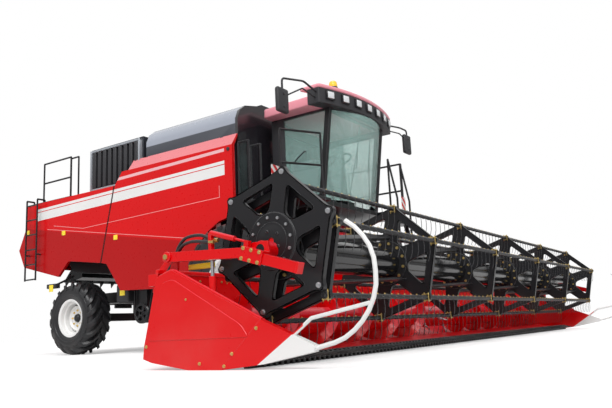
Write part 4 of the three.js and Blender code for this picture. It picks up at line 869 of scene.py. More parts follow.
def carcass(bm, centre, radius, half, bead):
    sidewall = bead + (radius - bead) * 0.52
    edge = radius - tread_drop(0.97)
    quarter = [
        (bead + 0.004, half * 0.84), (bead + 0.03, half * 0.88),
        (bead + (sidewall - bead) * 0.55, half * 0.955), (sidewall, half * 0.985),
        (edge - 0.03, half * 0.975), (radius - tread_drop(0.9), half * 0.9),
        (radius - tread_drop(0.75), half * 0.75), (radius, half * 0.4),
    ]
    points = [(r, s, 0) for r, s in quarter] + [(radius, 0, 0)]
    points += [(r, -s, 0) for r, s in reversed(quarter)]
    profile = [(p.x, p.y) for p in smooth_route(points, 3)]
    turned(bm, profile, centre, "y", 72, close=True)


def lug(bm, centre, radius, half, height, start, side, sweep, width):
    """One bar of the tread, from near the middle out over the shoulder."""
    cube = bmesh.new()
    verts = bmesh.ops.create_cube(cube, size=1.0)["verts"]
    long_edges = [e for e in edges_of(verts) if abs(e.verts[0].co.x - e.verts[1].co.x) > 0.5]
    bmesh.ops.subdivide_edges(cube, edges=long_edges, cuts=6)
    for vert in cube.verts:
        u, v, w = vert.co.x + 0.5, vert.co.y, vert.co.z + 0.5
        share = 0.02 + 0.965 * u
        ground = radius - tread_drop(share) - 0.0018
        top = height * (1.0 - 0.3 * u ** 5)
        r = ground - 0.012 + w * (top + 0.012)
        taper = width * (1.0 - 0.22 * w) * (1.0 + 0.25 * u)
        angle = start + sweep * u ** 0.85 + v * taper / radius * 1.25
        y = centre.y + side * (half * share - v * taper * 0.35 * (1.0 - u))
        vert.co = (centre.x + r * sin(angle), y, centre.z + r * cos(angle))
    bmesh.ops.recalc_face_normals(cube, faces=cube.faces)
    add_mesh(bm, cube)


def make_tyre(hand, end, settings):
    name = f"{end}_wheel_{hand}"
    low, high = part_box(name + "_tyre")
    rim_low, rim_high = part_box(name + "_rim")
    centre = (low + high) / 2
    radius, half = (high.z - low.z) / 2, (high.y - low.y) / 2
    bead = (rim_high.z - rim_low.z) / 2 + 0.004
    height = settings.lug_height
    bm = bmesh.new()
    carcass(bm, centre, radius - height, half, bead)
    count = settings.front_lugs if end == "front" else settings.rear_lugs
    pitch = 2 * pi / count
    for i in range(count):
        for direction, offset in ((-1, 0.0), (1, 0.5)):
            start = (i + offset) * pitch
            lug(
                bm, centre, radius - height, half, height, start, direction, pitch * 1.35,
                pitch * radius * 0.25,
            )
    for direction in (-1, 1):
        for share in (0.3, 0.62):
            r = bead + (radius - bead) * share
            foot, crest = direction * half * 0.965, direction * half * 0.99
            turned(bm, [(r - 0.006, foot), (r, crest), (r + 0.006, foot)], centre, "y", 48, close=True)
    piece(name + "_tread", bm, "rubber", name, (name + "_tyre",), sharp=40)


def make_rim(hand, side, end):
    name = f"{end}_wheel_{hand}"
    low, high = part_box(name + "_rim")
    centre = (low + high) / 2
    bead, half = (high.z - low.z) / 2, (high.y - low.y) / 2
    deep = bead * 0.13
    outer = [
        (bead + 0.022, half), (bead + 0.022, half - 0.012), (bead - 0.006, half - 0.022),
        (bead - 0.016, half - 0.07), (bead - deep, half * 0.55),
    ]
    inner = [
        (bead - deep - 0.012, half * 0.55), (bead - 0.03, half - 0.075), (bead - 0.02, half - 0.012),
        (bead + 0.004, half),
    ]
    profile = outer + [(r, -s) for r, s in reversed(outer)]
    profile += [(r, -s) for r, s in reversed(inner)] + inner
    bm = bmesh.new()
    turned(bm, profile, centre, "y", 64, close=True)
    disc = side * (-0.23 if end == "front" else 0.04)
    hub = 0.105 if end == "front" else 0.075
    edge = bead - deep - 0.008
    dish = side * 0.05
    face = [
        (hub, disc), (hub + 0.1, disc), (hub + 0.12, disc + dish * 0.35), (edge - 0.05, disc + dish * 0.5),
        (edge - 0.02, disc - dish * 0.2), (edge, disc - dish * 1.1),
    ]
    back = [(r, s - side * 0.012) for r, s in reversed(face)]
    turned(bm, face + back, centre, "y", 64, close=True)
    bolts = 10 if end == "front" else 8
    steel = bmesh.new()
    out = Vector((0, side, 0))
    for i in range(bolts):
        x, z = polar(centre.x, centre.z, hub + 0.055, 360 * i / bolts)
        place = Vector((x, centre.y + disc, z))
        hexagon(steel, place, out, 0.017, 0.018)
        cylinder(steel, place, place + out * 0.03, 0.008, 10)
    piece(name + "_dish", bm, "white", name, (name + "_rim",), sharp=28)
    piece(name + "_bolts", steel, "zinc", name)
    steel = bmesh.new()
    cap_from, cap_to = centre.y + disc - side * 0.02, centre.y + disc + side * 0.045
    turned(
        steel,
        [
            (0, cap_to), (hub * 0.55, cap_to), (hub * 0.8, cap_to - side * 0.012),
            (hub * 0.98, cap_to - side * 0.04), (hub * 0.98, cap_from), (0, cap_from),
        ],
        (centre.x, 0, centre.z), "y", 32,
    )
    valve = Vector((*polar(centre.x, centre.z, edge - 0.03, 70), 0)).xzy
    valve.y = centre.y + side * (half * 0.5)
    cylinder(steel, valve, valve + out * 0.05, 0.007, 10)
    piece(name + "_hub", steel, "black", name)


class HARVESTER_OT_wheels(bpy.types.Operator):
    """Builds the lugged tyres and the dished rims"""
    bl_idname = "harvester.wheels"
    bl_label = "Build the wheels"

    def execute(self, context):
        settings = context.scene.harvester_tyres
        for end in ("front", "rear"):
            for hand, side in SIDES:
                make_tyre(hand, end, settings)
                make_rim(hand, side, end)
        return {"FINISHED"}


# ------------------------------------------------------------------ reel
REEL = middle("reel_rotor")
BAR_CIRCLE = 0.557  # radius at which the tine bars run
BAR_ANGLES = [18 + 60 * i for i in range(6)]
FIRST_SPIDER, SPIDER_STEP, SPIDER_COUNT = -4.56, 1.8192, 6
PLATE_RISE = 0.074  # of the control plate's centre above the reel's axis
BRACE_CIRCLE = 0.275  # inside the reach of the tines
ROTOR_TUBE = 0.15


def window(x, z, inner, outer, narrow, wide, angle, grow=0.0):
    corners = [
        polar(x, z, inner - grow, angle, -narrow - grow),
        polar(x, z, outer + grow, angle, -wide - grow * 1.6),
        polar(x, z, outer + grow, angle, wide + grow * 1.6), polar(x, z, inner - grow, angle, narrow + grow),
    ]
    return soft_loop(corners, 0.05, 5)


def six_sided(bm, x, z, near, far, reach, corner, inner, outer, narrow, wide, lip, deep):
    """A pressed plate with a corner at each tine bar, a window between each two arms, and a lip
    turned out round its edge and its windows."""
    outline, edge = [], []
    for angle in BAR_ANGLES:
        for loop, grow in ((outline, 0.0), (edge, -0.007)):
            loop += [
                polar(x, z, BAR_CIRCLE + grow, angle, -corner - grow),
                polar(x, z, reach + grow, angle, -0.016), polar(x, z, reach + grow, angle, 0.016),
                polar(x, z, BAR_CIRCLE + grow, angle, corner + grow),
            ]
    outline, edge = soft_loop(outline, 0.03, 3), soft_loop(edge, 0.03, 3)
    between = [angle + 30 for angle in BAR_ANGLES]
    windows = [window(x, z, inner, outer, narrow, wide, angle) for angle in between]
    plate(bm, outline, near, far, holes=windows)
    out = (far - near) / abs(far - near)
    plate(bm, outline, near, near + out * lip, holes=[edge])
    for angle, hole in zip(between, windows):
        rim = window(x, z, inner, outer, narrow, wide, angle, 0.007)
        plate(bm, rim, near, near + out * deep, holes=[hole])


def make_rotor():
    bm = bmesh.new()
    end = abs(FIRST_SPIDER)
    cylinder(bm, (REEL.x, -end, REEL.z), (REEL.x, end, REEL.z), ROTOR_TUBE, 56)
    low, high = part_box("reel_rotor")
    cylinder(bm, (REEL.x, low.y, REEL.z), (REEL.x, high.y, REEL.z), 0.04, 32)
    piece("reel_tube", bm, "gloss", "reel", ("reel_rotor",), sharp=50)
    bm, bolts = bmesh.new(), bmesh.new()
    for i in range(SPIDER_COUNT):
        y = FIRST_SPIDER + SPIDER_STEP * i
        flat = BAR_CIRCLE * cos(radians(30))
        far = y + 0.01
        six_sided(
            bm, REEL.x, REEL.z, y, far, BAR_CIRCLE + 0.04, 0.042, 0.235, flat - 0.05, 0.04, 0.165, 0.045, 0.03
        )
        for start, stop in ((y - 0.012, y), (far, far + 0.012)):
            turned(
                bm, [(ROTOR_TUBE - 0.002, start), (0.225, start), (0.225, stop), (ROTOR_TUBE - 0.002, stop)],
                (REEL.x, 0, REEL.z), "y", 36, close=True,
            )
        bolt_ring(bolts, REEL.x, REEL.z, 0.197, 12, 15, y - 0.012, -1, 0.015, 0.014)
        bolt_ring(bolts, REEL.x, REEL.z, 0.197, 12, 15, far + 0.012, 1, 0.015, 0.014)
        for angle in BAR_ANGLES:
            x, z = polar(REEL.x, REEL.z, BAR_CIRCLE, angle)
            for foot in (z - 0.034, z + 0.021):
                cuboid(bolts, (x - 0.028, y - 0.022, foot), (x + 0.028, y + 0.03, foot + 0.013), 0.003, 1)
            for dx in (-0.022, 0.022):
                cylinder(bolts, (x + dx, y - 0.01, z - 0.045), (x + dx, y - 0.01, z + 0.045), 0.006, 8)
    for i in range(SPIDER_COUNT - 1):
        near, far = FIRST_SPIDER + SPIDER_STEP * i + 0.04, FIRST_SPIDER + SPIDER_STEP * (i + 1) - 0.02
        for first, second in ((0, 1), (4, 5), (2, 3)):
            a, b = BAR_ANGLES[first], BAR_ANGLES[second]
            start = polar(REEL.x, REEL.z, BRACE_CIRCLE, a)
            end = polar(REEL.x, REEL.z, BRACE_CIRCLE, b)
            out = Vector((cos(radians(a + 30)), 0, sin(radians(a + 30))))
            ends = (Vector((start[0], near, start[1])), Vector((end[0], far, end[1])))
            beam(bm, *ends, 0.055, 0.006, out, 0.002)
            lift = out * -0.018
            side = (ends[1] - ends[0]).normalized().cross(out) * 0.026
            beam(bm, ends[0] + lift + side, ends[1] + lift + side, 0.005, 0.036, out)
    piece("reel_spiders", bm, "black", "reel")
    piece("reel_spider_bolts", bolts, "zinc", "reel")


def make_control_plate():
    low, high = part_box("reel_control_plate")
    x, z = REEL.x, REEL.z + PLATE_RISE
    flat = BAR_CIRCLE * cos(radians(30))
    bm = bmesh.new()
    six_sided(
        bm, x, z, low.y, high.y - 0.004, BAR_CIRCLE + 0.044, 0.05, 0.238, flat - 0.05, 0.045, 0.168, 0.05,
        0.034,
    )
    turned(
        bm,
        [
            (0.1535, low.y - 0.01), (0.225, low.y - 0.01), (0.232, low.y), (0.232, low.y + 0.01),
            (0.1535, low.y + 0.01),
        ],
        (x, 0, z), "y", 48, close=True,
    )
    piece("control_plate", bm, "black", "reel_control_plate", ("reel_control_plate",))
    bolts = bmesh.new()
    bolt_ring(bolts, x, z, 0.19, 12, 8, low.y - 0.01, -1, 0.013, 0.012)
    for angle in BAR_ANGLES:
        bx, bz = polar(x, z, BAR_CIRCLE, angle)
        cylinder(bolts, (bx, low.y - 0.004, bz), (bx, low.y + 0.01, bz), 0.022, 20)
        hexagon(bolts, (bx, low.y - 0.004, bz), (0, -1, 0), 0.017, 0.012)
    piece("control_plate_bolts", bolts, "steel", "reel_control_plate")
    disc = bmesh.new()
    face = -4.673
    turned(
        disc,
        [
            (0.028, face), (0.112, face), (0.124, face + 0.004), (0.15, face + 0.004), (0.1518, face + 0.006),
            (0.1518, face + 0.046), (0.028, face + 0.046),
        ],
        (x, 0, z), "y", 48, close=True,
    )
    bolt_ring(disc, x, z, 0.085, 5, 40, face, -1, 0.012, 0.01)
    piece("control_disc", disc, "black", "reel_carriage")


def make_tine_bar(index, settings):
    angle = BAR_ANGLES[index]
    body = f"tine_bar_{index + 1}"
    x, z = polar(REEL.x, REEL.z, BAR_CIRCLE, angle)
    bm = bmesh.new()
    cylinder(bm, (x, -4.578, z), (x, 4.575, z), 0.0198, 20, bevel=0.003)
    crank = bmesh.new()
    outline = []
    for k in range(13):
        outline.append(polar(x, z, 0.028, 180 + 180 * k / 12))
    for k in range(13):
        outline.append(polar(x, z + PLATE_RISE, 0.022, 180 * k / 12))
    plate(crank, outline, -4.592, -4.578, bevel=0.002)
    cylinder(crank, (x, -4.592, z + PLATE_RISE), (x, -4.65, z + PLATE_RISE), 0.0098, 16)
    hexagon(crank, (x, -4.592, z), (0, -1, 0), 0.018, 0.012)
    piece(f"bar_{index + 1}", bm, "black", body, (body,), sharp=50)
    piece(f"bar_{index + 1}_crank", crank, "black", body)
    make_tines(index, body, x, z, settings)


def make_tines(index, body, x, z, settings):
    each = round(SPIDER_STEP / settings.tine_spacing)  # tines between two spiders, clear of both
    step = SPIDER_STEP / each
    start = FIRST_SPIDER + 0.018 + step / 2
    count = each * (SPIDER_COUNT - 1)
    bm = bmesh.new()
    coil, wire = 0.0235, 0.0034
    route = []
    for k in range(8):
        turn = 2 * pi * 1.75 * k / 7
        route.append(
            (x + coil * cos(turn + pi / 2), start - 0.018 + 0.036 * k / 7, z + coil * sin(turn + pi / 2))
        )
    foot = route[-1][1]
    length = settings.tine_length
    route += [
        (x + coil, foot, z - 0.01), (x + coil + 0.004, foot, z - length * 0.35),
        (x + coil + 0.002, foot, z - length * 0.62), (x + coil - 0.01, foot, z - length * 0.85),
        (x + coil - 0.024, foot, z - length),
    ]
    pipe(bm, [Vector(p) for p in route], wire, 0)
    tines = piece(f"bar_{index + 1}_tines", bm, "black", body, sharp=60)
    repeat(tines, count, (0, step, 0))
    clip = bmesh.new()
    cuboid(clip, (x - 0.02, start - 0.034, z + 0.01), (x - 0.002, start - 0.022, z + 0.0235), 0.002, 1)
    cylinder(clip, (x - 0.011, start - 0.028, z + 0.022), (x - 0.011, start - 0.028, z + 0.031), 0.0055, 6)
    clips = piece(f"bar_{index + 1}_clips", clip, "zinc", body)
    repeat(clips, count, (0, step, 0))


class HARVESTER_OT_reel(bpy.types.Operator):
    """Builds the reel: tube, spiders, control plate, tine bars and tines"""
    bl_idname = "harvester.reel"
    bl_label = "Build the reel"

    def execute(self, context):
        settings = context.scene.harvester_reel
        make_rotor()
        make_control_plate()
        for index in range(6):
            make_tine_bar(index, settings)
        return {"FINISHED"}


# ------------------------------------------------------------------ header
AUGER = at(2.085, 0, 0.35)
HEADER_HALF = 4.92
TABLE_HALF = 4.86


def make_auger():
    bm = bmesh.new()
    end = TABLE_HALF - 0.02
    cylinder(bm, (AUGER.x, -end, AUGER.z), (AUGER.x, end, AUGER.z), 0.14, 48, bevel=0.004)
    for hand, first, last in ((1, -end + 0.01, -0.56), (-1, 0.56, end - 0.01)):
        turns = (last - first) / 0.72
        steps = round(turns * 28)
        profile = [(0.13, -0.004), (0.254, -0.004), (0.254, 0.004), (0.13, 0.004)]
        verts = [bm.verts.new((AUGER.x, first + s, AUGER.z + r)) for r, s in profile]
        edges = [bm.edges.new((a, b)) for a, b in zip(verts, verts[1:] + verts[:1])]
        before = set(bm.faces)
        bmesh.ops.spin(
            bm, geom=verts + edges, cent=Vector((AUGER.x, first, AUGER.z)), axis=Vector((0, -hand, 0)),
            dvec=Vector((0, (last - first) / steps, 0)), angle=2 * pi * turns, steps=steps, use_merge=False,
            use_duplicate=False,
        )
        made = [f for f in bm.faces if f not in before]
        rims = [e for f in made for e in f.edges if len(e.link_faces) == 1]
        made += bmesh.ops.holes_fill(bm, edges=list(set(rims)), sides=4)["faces"]
        bmesh.ops.recalc_face_normals(bm, faces=made)
    piece("auger", bm, "red", "header_auger", ("header_auger",), sharp=40)
    fingers = bmesh.new()
    for k in range(12):
        y = -0.5 + k / 11
        angle = radians(137.5 * k)
        out = Vector((sin(angle), 0, cos(angle)))
        start = Vector((AUGER.x, y, AUGER.z))
        cylinder(fingers, start + out * 0.12, start + out * 0.25, 0.008, 12, bevel=0.002)
        cylinder(fingers, start + out * 0.138, start + out * 0.152, 0.024, 16, bevel=0.003)
    piece("auger_fingers", fingers, "steel", "header_auger")


def make_knife():
    pitch, first = 0.0762, -4.7
    count = int(-2 * first / pitch) + 1
    guard = bmesh.new()
    z = 0.052
    cuboid(guard, at(2.69, first - 0.02, 0.0425), at(2.79, first + 0.02, 0.086), 0.004, 1)
    cuboid(guard, at(2.762, first - 0.017, 0.006), at(2.8, first + 0.017, 0.06), 0.004, 1)
    cylinder(guard, at(2.78, first, z + 0.004), at(2.905, first, z - 0.004), 0.024, 8, tip=0.004)
    guards = piece("knife_guards", guard, "black", "header")
    repeat(guards, count, (0, pitch, 0))
    strip = bmesh.new()
    cuboid(strip, at(2.7, -4.84, 0.004), at(2.758, 4.84, 0.0275), 0.004, 1)
    piece("guard_beam", strip, "black", "header")
    bar = bmesh.new()
    low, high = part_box("knife")
    cuboid(bar, (low.x, low.y, low.z), (high.x - 0.012, high.y, high.z), 0.001, 1)
    piece("knife_back", bar, "steel", "knife", ("knife",))
    section = bmesh.new()
    y = first + pitch / 2
    tooth = [
        (AXLE_X + 2.722, y - 0.037), (AXLE_X + 2.765, y - 0.037), (AXLE_X + 2.815, y - 0.006),
        (AXLE_X + 2.815, y + 0.006), (AXLE_X + 2.765, y + 0.037), (AXLE_X + 2.722, y + 0.037),
    ]
    plate(section, tooth, high.z, high.z + 0.003, flat="xy")
    sections = piece("knife_sections", section, "steel", "knife")
    repeat(sections, count - 1, (0, pitch, 0))


def make_header_trim():
    bolts, red = bmesh.new(), bmesh.new()
    for side in (-1, 1):
        out = Vector((0, side, 0))
        face = side * HEADER_HALF
        for x, z in ((1.735, 0.19), (2.9, 0.3), (2.58, 0.03), (2.33, 0.05), (2.66, 0.12), (2.2, 0.55)):
            place = at(x, face, z)
            cylinder(bolts, place - out * 0.002, place + out * 0.004, 0.014, 16)
            hexagon(bolts, place + out * 0.003, out, 0.01, 0.009)
        outline = [(1.76, 0.235), (2.83, 0.235), (2.755, 0.335), (2.05, 0.725), (1.93, 0.705)]
        outline = [(AXLE_X + x, z) for x, z in outline]
        plate(red, soft_loop(outline, 0.04, 4), face - side * 0.002, face + side * 0.006, bevel=0.004)
        rail(
            red,
            [
                at(1.7, side * 4.9, 0.19), at(1.86, side * 4.9, 0.756), at(2.03, side * 4.9, 0.806),
                at(2.94, side * 4.9, 0.366),
            ],
            0.012, 0.05,
        )
        rail(red, [at(2.94, side * 4.915, 0.362), at(2.549, side * 4.915, 0.004)], 0.007)
    for y in [i * 0.6 for i in range(-8, 9) if abs(i) > 1]:
        cuboid(red, at(1.735, y - 0.02, 0.1), at(1.795, y + 0.02, 0.78), 0.006, 1)
    cuboid(red, at(1.78, -TABLE_HALF, 0.785), at(1.815, TABLE_HALF, 0.825), 0.006, 2)
    for i in range(-16, 17):
        hexagon(bolts, at(1.808, i * 0.29, 0.74), (1, 0, 0), 0.011, 0.009)
    piece("header_bolts", bolts, "zinc", "header")
    piece("header_edges", red, "red", "header")


ARM_BEND, ARM_TIP = (2.72, 0.875), (3.265, 0.71)


def on_arm(along, above):
    """A place on the outer section of a reel arm, along it from its bend and above its middle."""
    run = Vector(ARM_TIP) - Vector(ARM_BEND)
    way = run.normalized()
    spot = Vector(ARM_BEND) + way * along + Vector((-way.y, way.x)) * above
    return spot.x, spot.y


def make_reel_arms():
    bolts, hoses, drops, locks, caps = (bmesh.new() for _ in range(5))
    for side in (-1, 1):
        out = Vector((0, side, 0))
        for along in (0.05, 0.13, 0.21):
            for above in (-0.035, 0.045):
                x, z = on_arm(along, above)
                place = at(x, side * 4.8975, z)
                cylinder(bolts, place - out * 0.002, place + out * 0.003, 0.016, 16)
                hexagon(bolts, place + out * 0.002, out, 0.011, 0.01)
        x, z = 1.95, 0.915
        cylinder(caps, at(x, side * 4.88, z), at(x, side * 4.9, z), 0.045, 24, bevel=0.005)
        hexagon(bolts, at(x, side * 4.9, z), out, 0.024, 0.014)
        x1, z1 = on_arm(0.555, 0)
        x2, z2 = on_arm(0.578, 0)
        beam(caps, at(x1, side * 4.85, z1), at(x2, side * 4.85, z2), 0.076, 0.086, (0, 0, 1), 0.004)
        y = side * 4.85
        upper = (
            [
                (2.42, -0.02, 1.01), (2.26, -0.04, 1.07), (2.08, -0.06, 1.07), (1.99, -0.065, 1.01),
                (1.95, -0.065, 0.93),
            ],
            [
                (2.4, 0.01, 0.995), (2.22, 0.0, 1.02), (2.08, -0.03, 1.01), (1.99, -0.055, 0.96),
                (1.955, -0.055, 0.905),
            ],
        )
        lower = (
            [(1.95, -0.065, 0.93), (1.9, -0.065, 0.86), (1.84, -0.05, 0.78), (1.8, -0.03, 0.72)],
            [(1.955, -0.055, 0.905), (1.9, -0.05, 0.84), (1.86, -0.03, 0.77), (1.82, -0.02, 0.7)],
        )
        for made, routes in ((hoses, upper), (drops, lower)):
            for route in routes:
                pipe(made, smooth_route([at(x, y + side * dy, z) for x, dy, z in route], 8), 0.014, 2)
        for route in upper:
            x, dy, z = route[0]
            cylinder(bolts, at(x, y + side * dy, z), at(x + 0.05, y + side * dy, z - 0.005), 0.017, 6)
        cuboid(locks, at(2.08, side * 4.76 - 0.012, 0.8), at(2.36, side * 4.76 + 0.012, 0.845), 0.004, 2)
    piece("slider_bolts", bolts, "zinc", "reel_carriage")
    piece("arm_caps", caps, "red", "reel_arms")
    piece("reel_hoses", hoses, "hose", "reel_arms", sharp=60)
    piece("reel_hose_drops", drops, "hose", "header", sharp=60)
    piece("reel_locks", locks, "yellow", "header")


class HARVESTER_OT_header(bpy.types.Operator):
    """Builds the header's auger, knife, bolts, edges and hoses"""
    bl_idname = "harvester.header"
    bl_label = "Build the header"

    def execute(self, context):
        make_auger()
        make_knife()
        make_header_trim()
        make_reel_arms()
        return {"FINISHED"}


# ------------------------------------------------------------------ cab
ROOF_BOTTOM, SIDE_TOP, ROOF_TOP = 3.46, 3.6, 3.79
ROOF_HALF, ROOF_FRONT, ROOF_BOW = 1.12, 1.15, 0.2


def bow(y, inset=0.0):
    """The roof's front edge at a place across the machine."""
    return ROOF_FRONT - inset + ROOF_BOW * (1 - (y / ROOF_HALF) ** 2)


def roof_outline(inset, front_inset=0.0, rear=0.04):
    half = ROOF_HALF - inset
    front = [(AXLE_X + bow(y, inset + front_inset), y) for y in [half * (i / 8 - 1) for i in range(17)]]
    loop = [(AXLE_X + rear + inset, -half + 0.05), *front, (AXLE_X + rear + inset, half - 0.05)]
    return soft_loop(loop, 0.07, 4)


def arc_band(front_inset, back_inset, trim=0.0, steps=24):
    """The outline of a strip that follows the roof's bowed front edge."""
    half = ROOF_HALF - trim
    spots = [half * (2 * i / steps - 1) for i in range(steps + 1)]
    outer = [(AXLE_X + bow(y, front_inset), y) for y in spots]
    return outer + [(AXLE_X + bow(y, back_inset), y) for y in reversed(spots)]


def make_roof():
    bm = bmesh.new()
    plate(bm, roof_outline(0.02, 0.13), ROOF_BOTTOM, SIDE_TOP, flat="xy", bevel=0.018, segments=3)
    before = set(bm.verts)
    plate(bm, roof_outline(0.03, 0.04), SIDE_TOP - 0.01, ROOF_TOP, flat="xy")
    fresh = [v for v in bm.verts if v not in before]
    for vert in fresh:
        if vert.co.z > ROOF_TOP - 0.0001:
            vert.co.y *= 0.62
            rear = max(0.0, AXLE_X + 0.9 - vert.co.x)
            vert.co.x += rear * 0.28
    top = [e for e in edges_of(fresh) if any(abs(v.co.z - ROOF_TOP) < 0.0001 for v in e.verts)]
    level = [e for e in top if all(abs(v.co.z - ROOF_TOP) < 0.0001 for v in e.verts)]
    soften(bm, level, 0.05, 4)
    plate(bm, arc_band(0.0, 0.34, 0.0), 3.685, 3.745, flat="xy", bevel=0.02, segments=3)
    for i in (-1, 0, 1):
        low = at(0.5, i * 0.42 - 0.05, ROOF_TOP - 0.01)
        cuboid(bm, low, at(1.0, i * 0.42 + 0.05, ROOF_TOP + 0.006), 0.008, 2)
    piece("roof_shell", bm, "roof", "chassis", ("cab_roof",), sharp=35)
    visor, frames, lenses = bmesh.new(), bmesh.new(), bmesh.new()
    plate(visor, arc_band(0.012, 0.22, 0.006), ROOF_BOTTOM - 0.004, 3.69, flat="xy", bevel=0.008)
    for i in range(7):
        y = (i - 3) * 0.305
        lean = atan2(2 * ROOF_BOW * y / ROOF_HALF ** 2, 1.0)
        spot = at(bow(y, 0.01), y, 3.59)
        turn = Matrix.Rotation(lean, 4, "Z")
        size = Vector((0.024, 0.082, 0.07))
        cuboid(frames, spot - size, spot + size, 0.01, 2, turn)
        shift = Vector((cos(lean), sin(lean), 0)) * 0.018
        size = Vector((0.014, 0.06, 0.05))
        cuboid(lenses, spot + shift - size, spot + shift + size, 0.008, 2, turn)
    piece("visor", visor, "plastic", "chassis")
    piece("work_lamp_frames", frames, "black", "chassis")
    piece("work_lamp_lenses", lenses, "lamp", "chassis")


def make_beacon():
    spot = at(1.02, -0.5, 0)
    base, dome = bmesh.new(), bmesh.new()
    turned(base, [(0, 3.775), (0.074, 3.775), (0.074, 3.865), (0.066, 3.88), (0, 3.88)], spot, "z", 32)
    turned(
        dome, [(0, 3.877), (0.066, 3.877), (0.064, 3.925), (0.056, 3.958), (0.036, 3.976), (0, 3.982)], spot,
        "z", 32,
    )
    piece("beacon_base", base, "plastic", "chassis")
    piece("beacon_dome", dome, "beacon", "chassis")


def make_mirrors():
    arms, faces = bmesh.new(), bmesh.new()
    for side, y, low, high, elbow in ((-1, -2.0, 3.08, 3.42, 3.56), (1, 1.78, 3.24, 3.59, 3.67)):
        rail(
            arms,
            [
                at(1.08, side * 1.03, 3.62), at(1.14, side * 1.5, 3.66), at(1.13, y, elbow),
                at(1.13, y, low + 0.05),
            ],
            0.015, 0.06,
        )
        rail(
            arms,
            [at(1.06, side * 1.05, 3.54), at(1.12, side * 1.5, 3.56), at(1.12, y - side * 0.11, high - 0.07)],
            0.011, 0.03,
        )
        cuboid(arms, at(1.085, y - 0.12, low), at(1.155, y + 0.12, high), 0.03, 4)
        cuboid(faces, at(1.08, y - 0.1, low + 0.02), at(1.088, y + 0.1, high - 0.02), 0.003, 1)
        for z in (low + 0.08, high - 0.08):
            cylinder(arms, at(1.13, y, z), at(1.165, y, z), 0.02, 16, bevel=0.003)
    piece("mirrors", arms, "plastic", "chassis")
    piece("mirror_faces", faces, "mirror", "chassis")


def cushion(low, high, channels):
    """A crowned pad: a grown cube whose faces swell, with sewn channels across it."""
    low, high = Vector(low), Vector(high)
    size, centre = high - low, (low + high) / 2
    bm = bmesh.new()
    verts = bmesh.ops.create_cube(bm, size=1.0)["verts"]
    bmesh.ops.subdivide_edges(bm, edges=edges_of(verts), cuts=15, use_grid_fill=True)
    for vert in bm.verts:
        u, v, w = (2 * c for c in vert.co)
        flat_u, flat_v, flat_w = (1 - abs(t) ** 4 for t in (u, v, w))
        pinch = 1 - 0.1 * (1 - flat_u * flat_v) * (1 - 0.5 * flat_w)
        u2 = u * (1 - 0.06 * (1 - flat_v)) * (1 - 0.05 * (1 - flat_w))
        v2 = v * (1 - 0.06 * (1 - flat_u)) * (1 - 0.05 * (1 - flat_w))
        groove = 0.0
        for line in channels:
            groove = max(groove, 1 - min(1, abs(v - line) / 0.08))
        w2 = w * (pinch - 0.1 * groove * flat_u)
        vert.co = Vector((u2 * size.x / 2, v2 * size.y / 2, w2 * size.z / 2)) + centre
    return bm


BACK_LEAN = 7.0  # degrees of the seat's back and head rest


def make_seat():
    base = at(0.43, 0, 2.1)
    shell = bmesh.new()
    blocks = [((-0.16, -0.17, 0.0), (0.16, 0.17, 0.05), 0.012, 2)]
    for i in range(5):
        fold, foot = 0.008 * (i % 2), 0.05 + 0.045 * i
        blocks.append(
            ((-0.14 - fold, -0.15 - fold, foot), (0.14 + fold, 0.15 + fold, foot + 0.045), 0.012, 2)
        )
    blocks += [
        ((-0.23, -0.23, 0.27), (0.23, 0.23, 0.335), 0.02, 3),
        ((-0.2, -0.39, 0.53), (0.25, -0.3, 0.595), 0.025, 3),
        ((-0.12, -0.33, 0.38), (-0.04, -0.2, 0.56), 0.015, 2),
    ]
    for low, high, bevel, segments in blocks:
        cuboid(shell, base + Vector(low), base + Vector(high), bevel, segments)
    cylinder(
        shell, base + Vector((0.2, -0.345, 0.59)), base + Vector((0.22, -0.345, 0.7)), 0.018, 16, bevel=0.006
    )
    piece("seat_base", shell, "plastic", "chassis", ("operator_seat",))
    pads = {
        "seat_cushion": ((-0.24, -0.25, 0.33), (0.26, 0.25, 0.45), (-0.55, 0.55)),
        "seat_back": ((-0.31, -0.24, 0.42), (-0.19, 0.24, 0.98), (-0.55, 0.55)),
        "seat_head_rest": ((-0.335, -0.13, 0.93), (-0.245, 0.13, 1.05), ()),
    }
    for name, (low, high, channels) in pads.items():
        low, high = base + Vector(low), base + Vector(high)
        size = high - low
        if size.z > size.x:
            flat_low = Vector((-size.z / 2, -size.y / 2, -size.x / 2))
            bm = cushion(flat_low, -flat_low, channels)
            turn = Matrix.Rotation(radians(90 - BACK_LEAN), 4, "Y")
            place = Matrix.Translation((low + high) / 2) @ turn
            bmesh.ops.transform(bm, matrix=place, verts=bm.verts)
            bmesh.ops.recalc_face_normals(bm, faces=bm.faces)
        else:
            bm = cushion(low, high, channels)
        made = piece(name, bm, "cloth", "chassis", sharp=60)


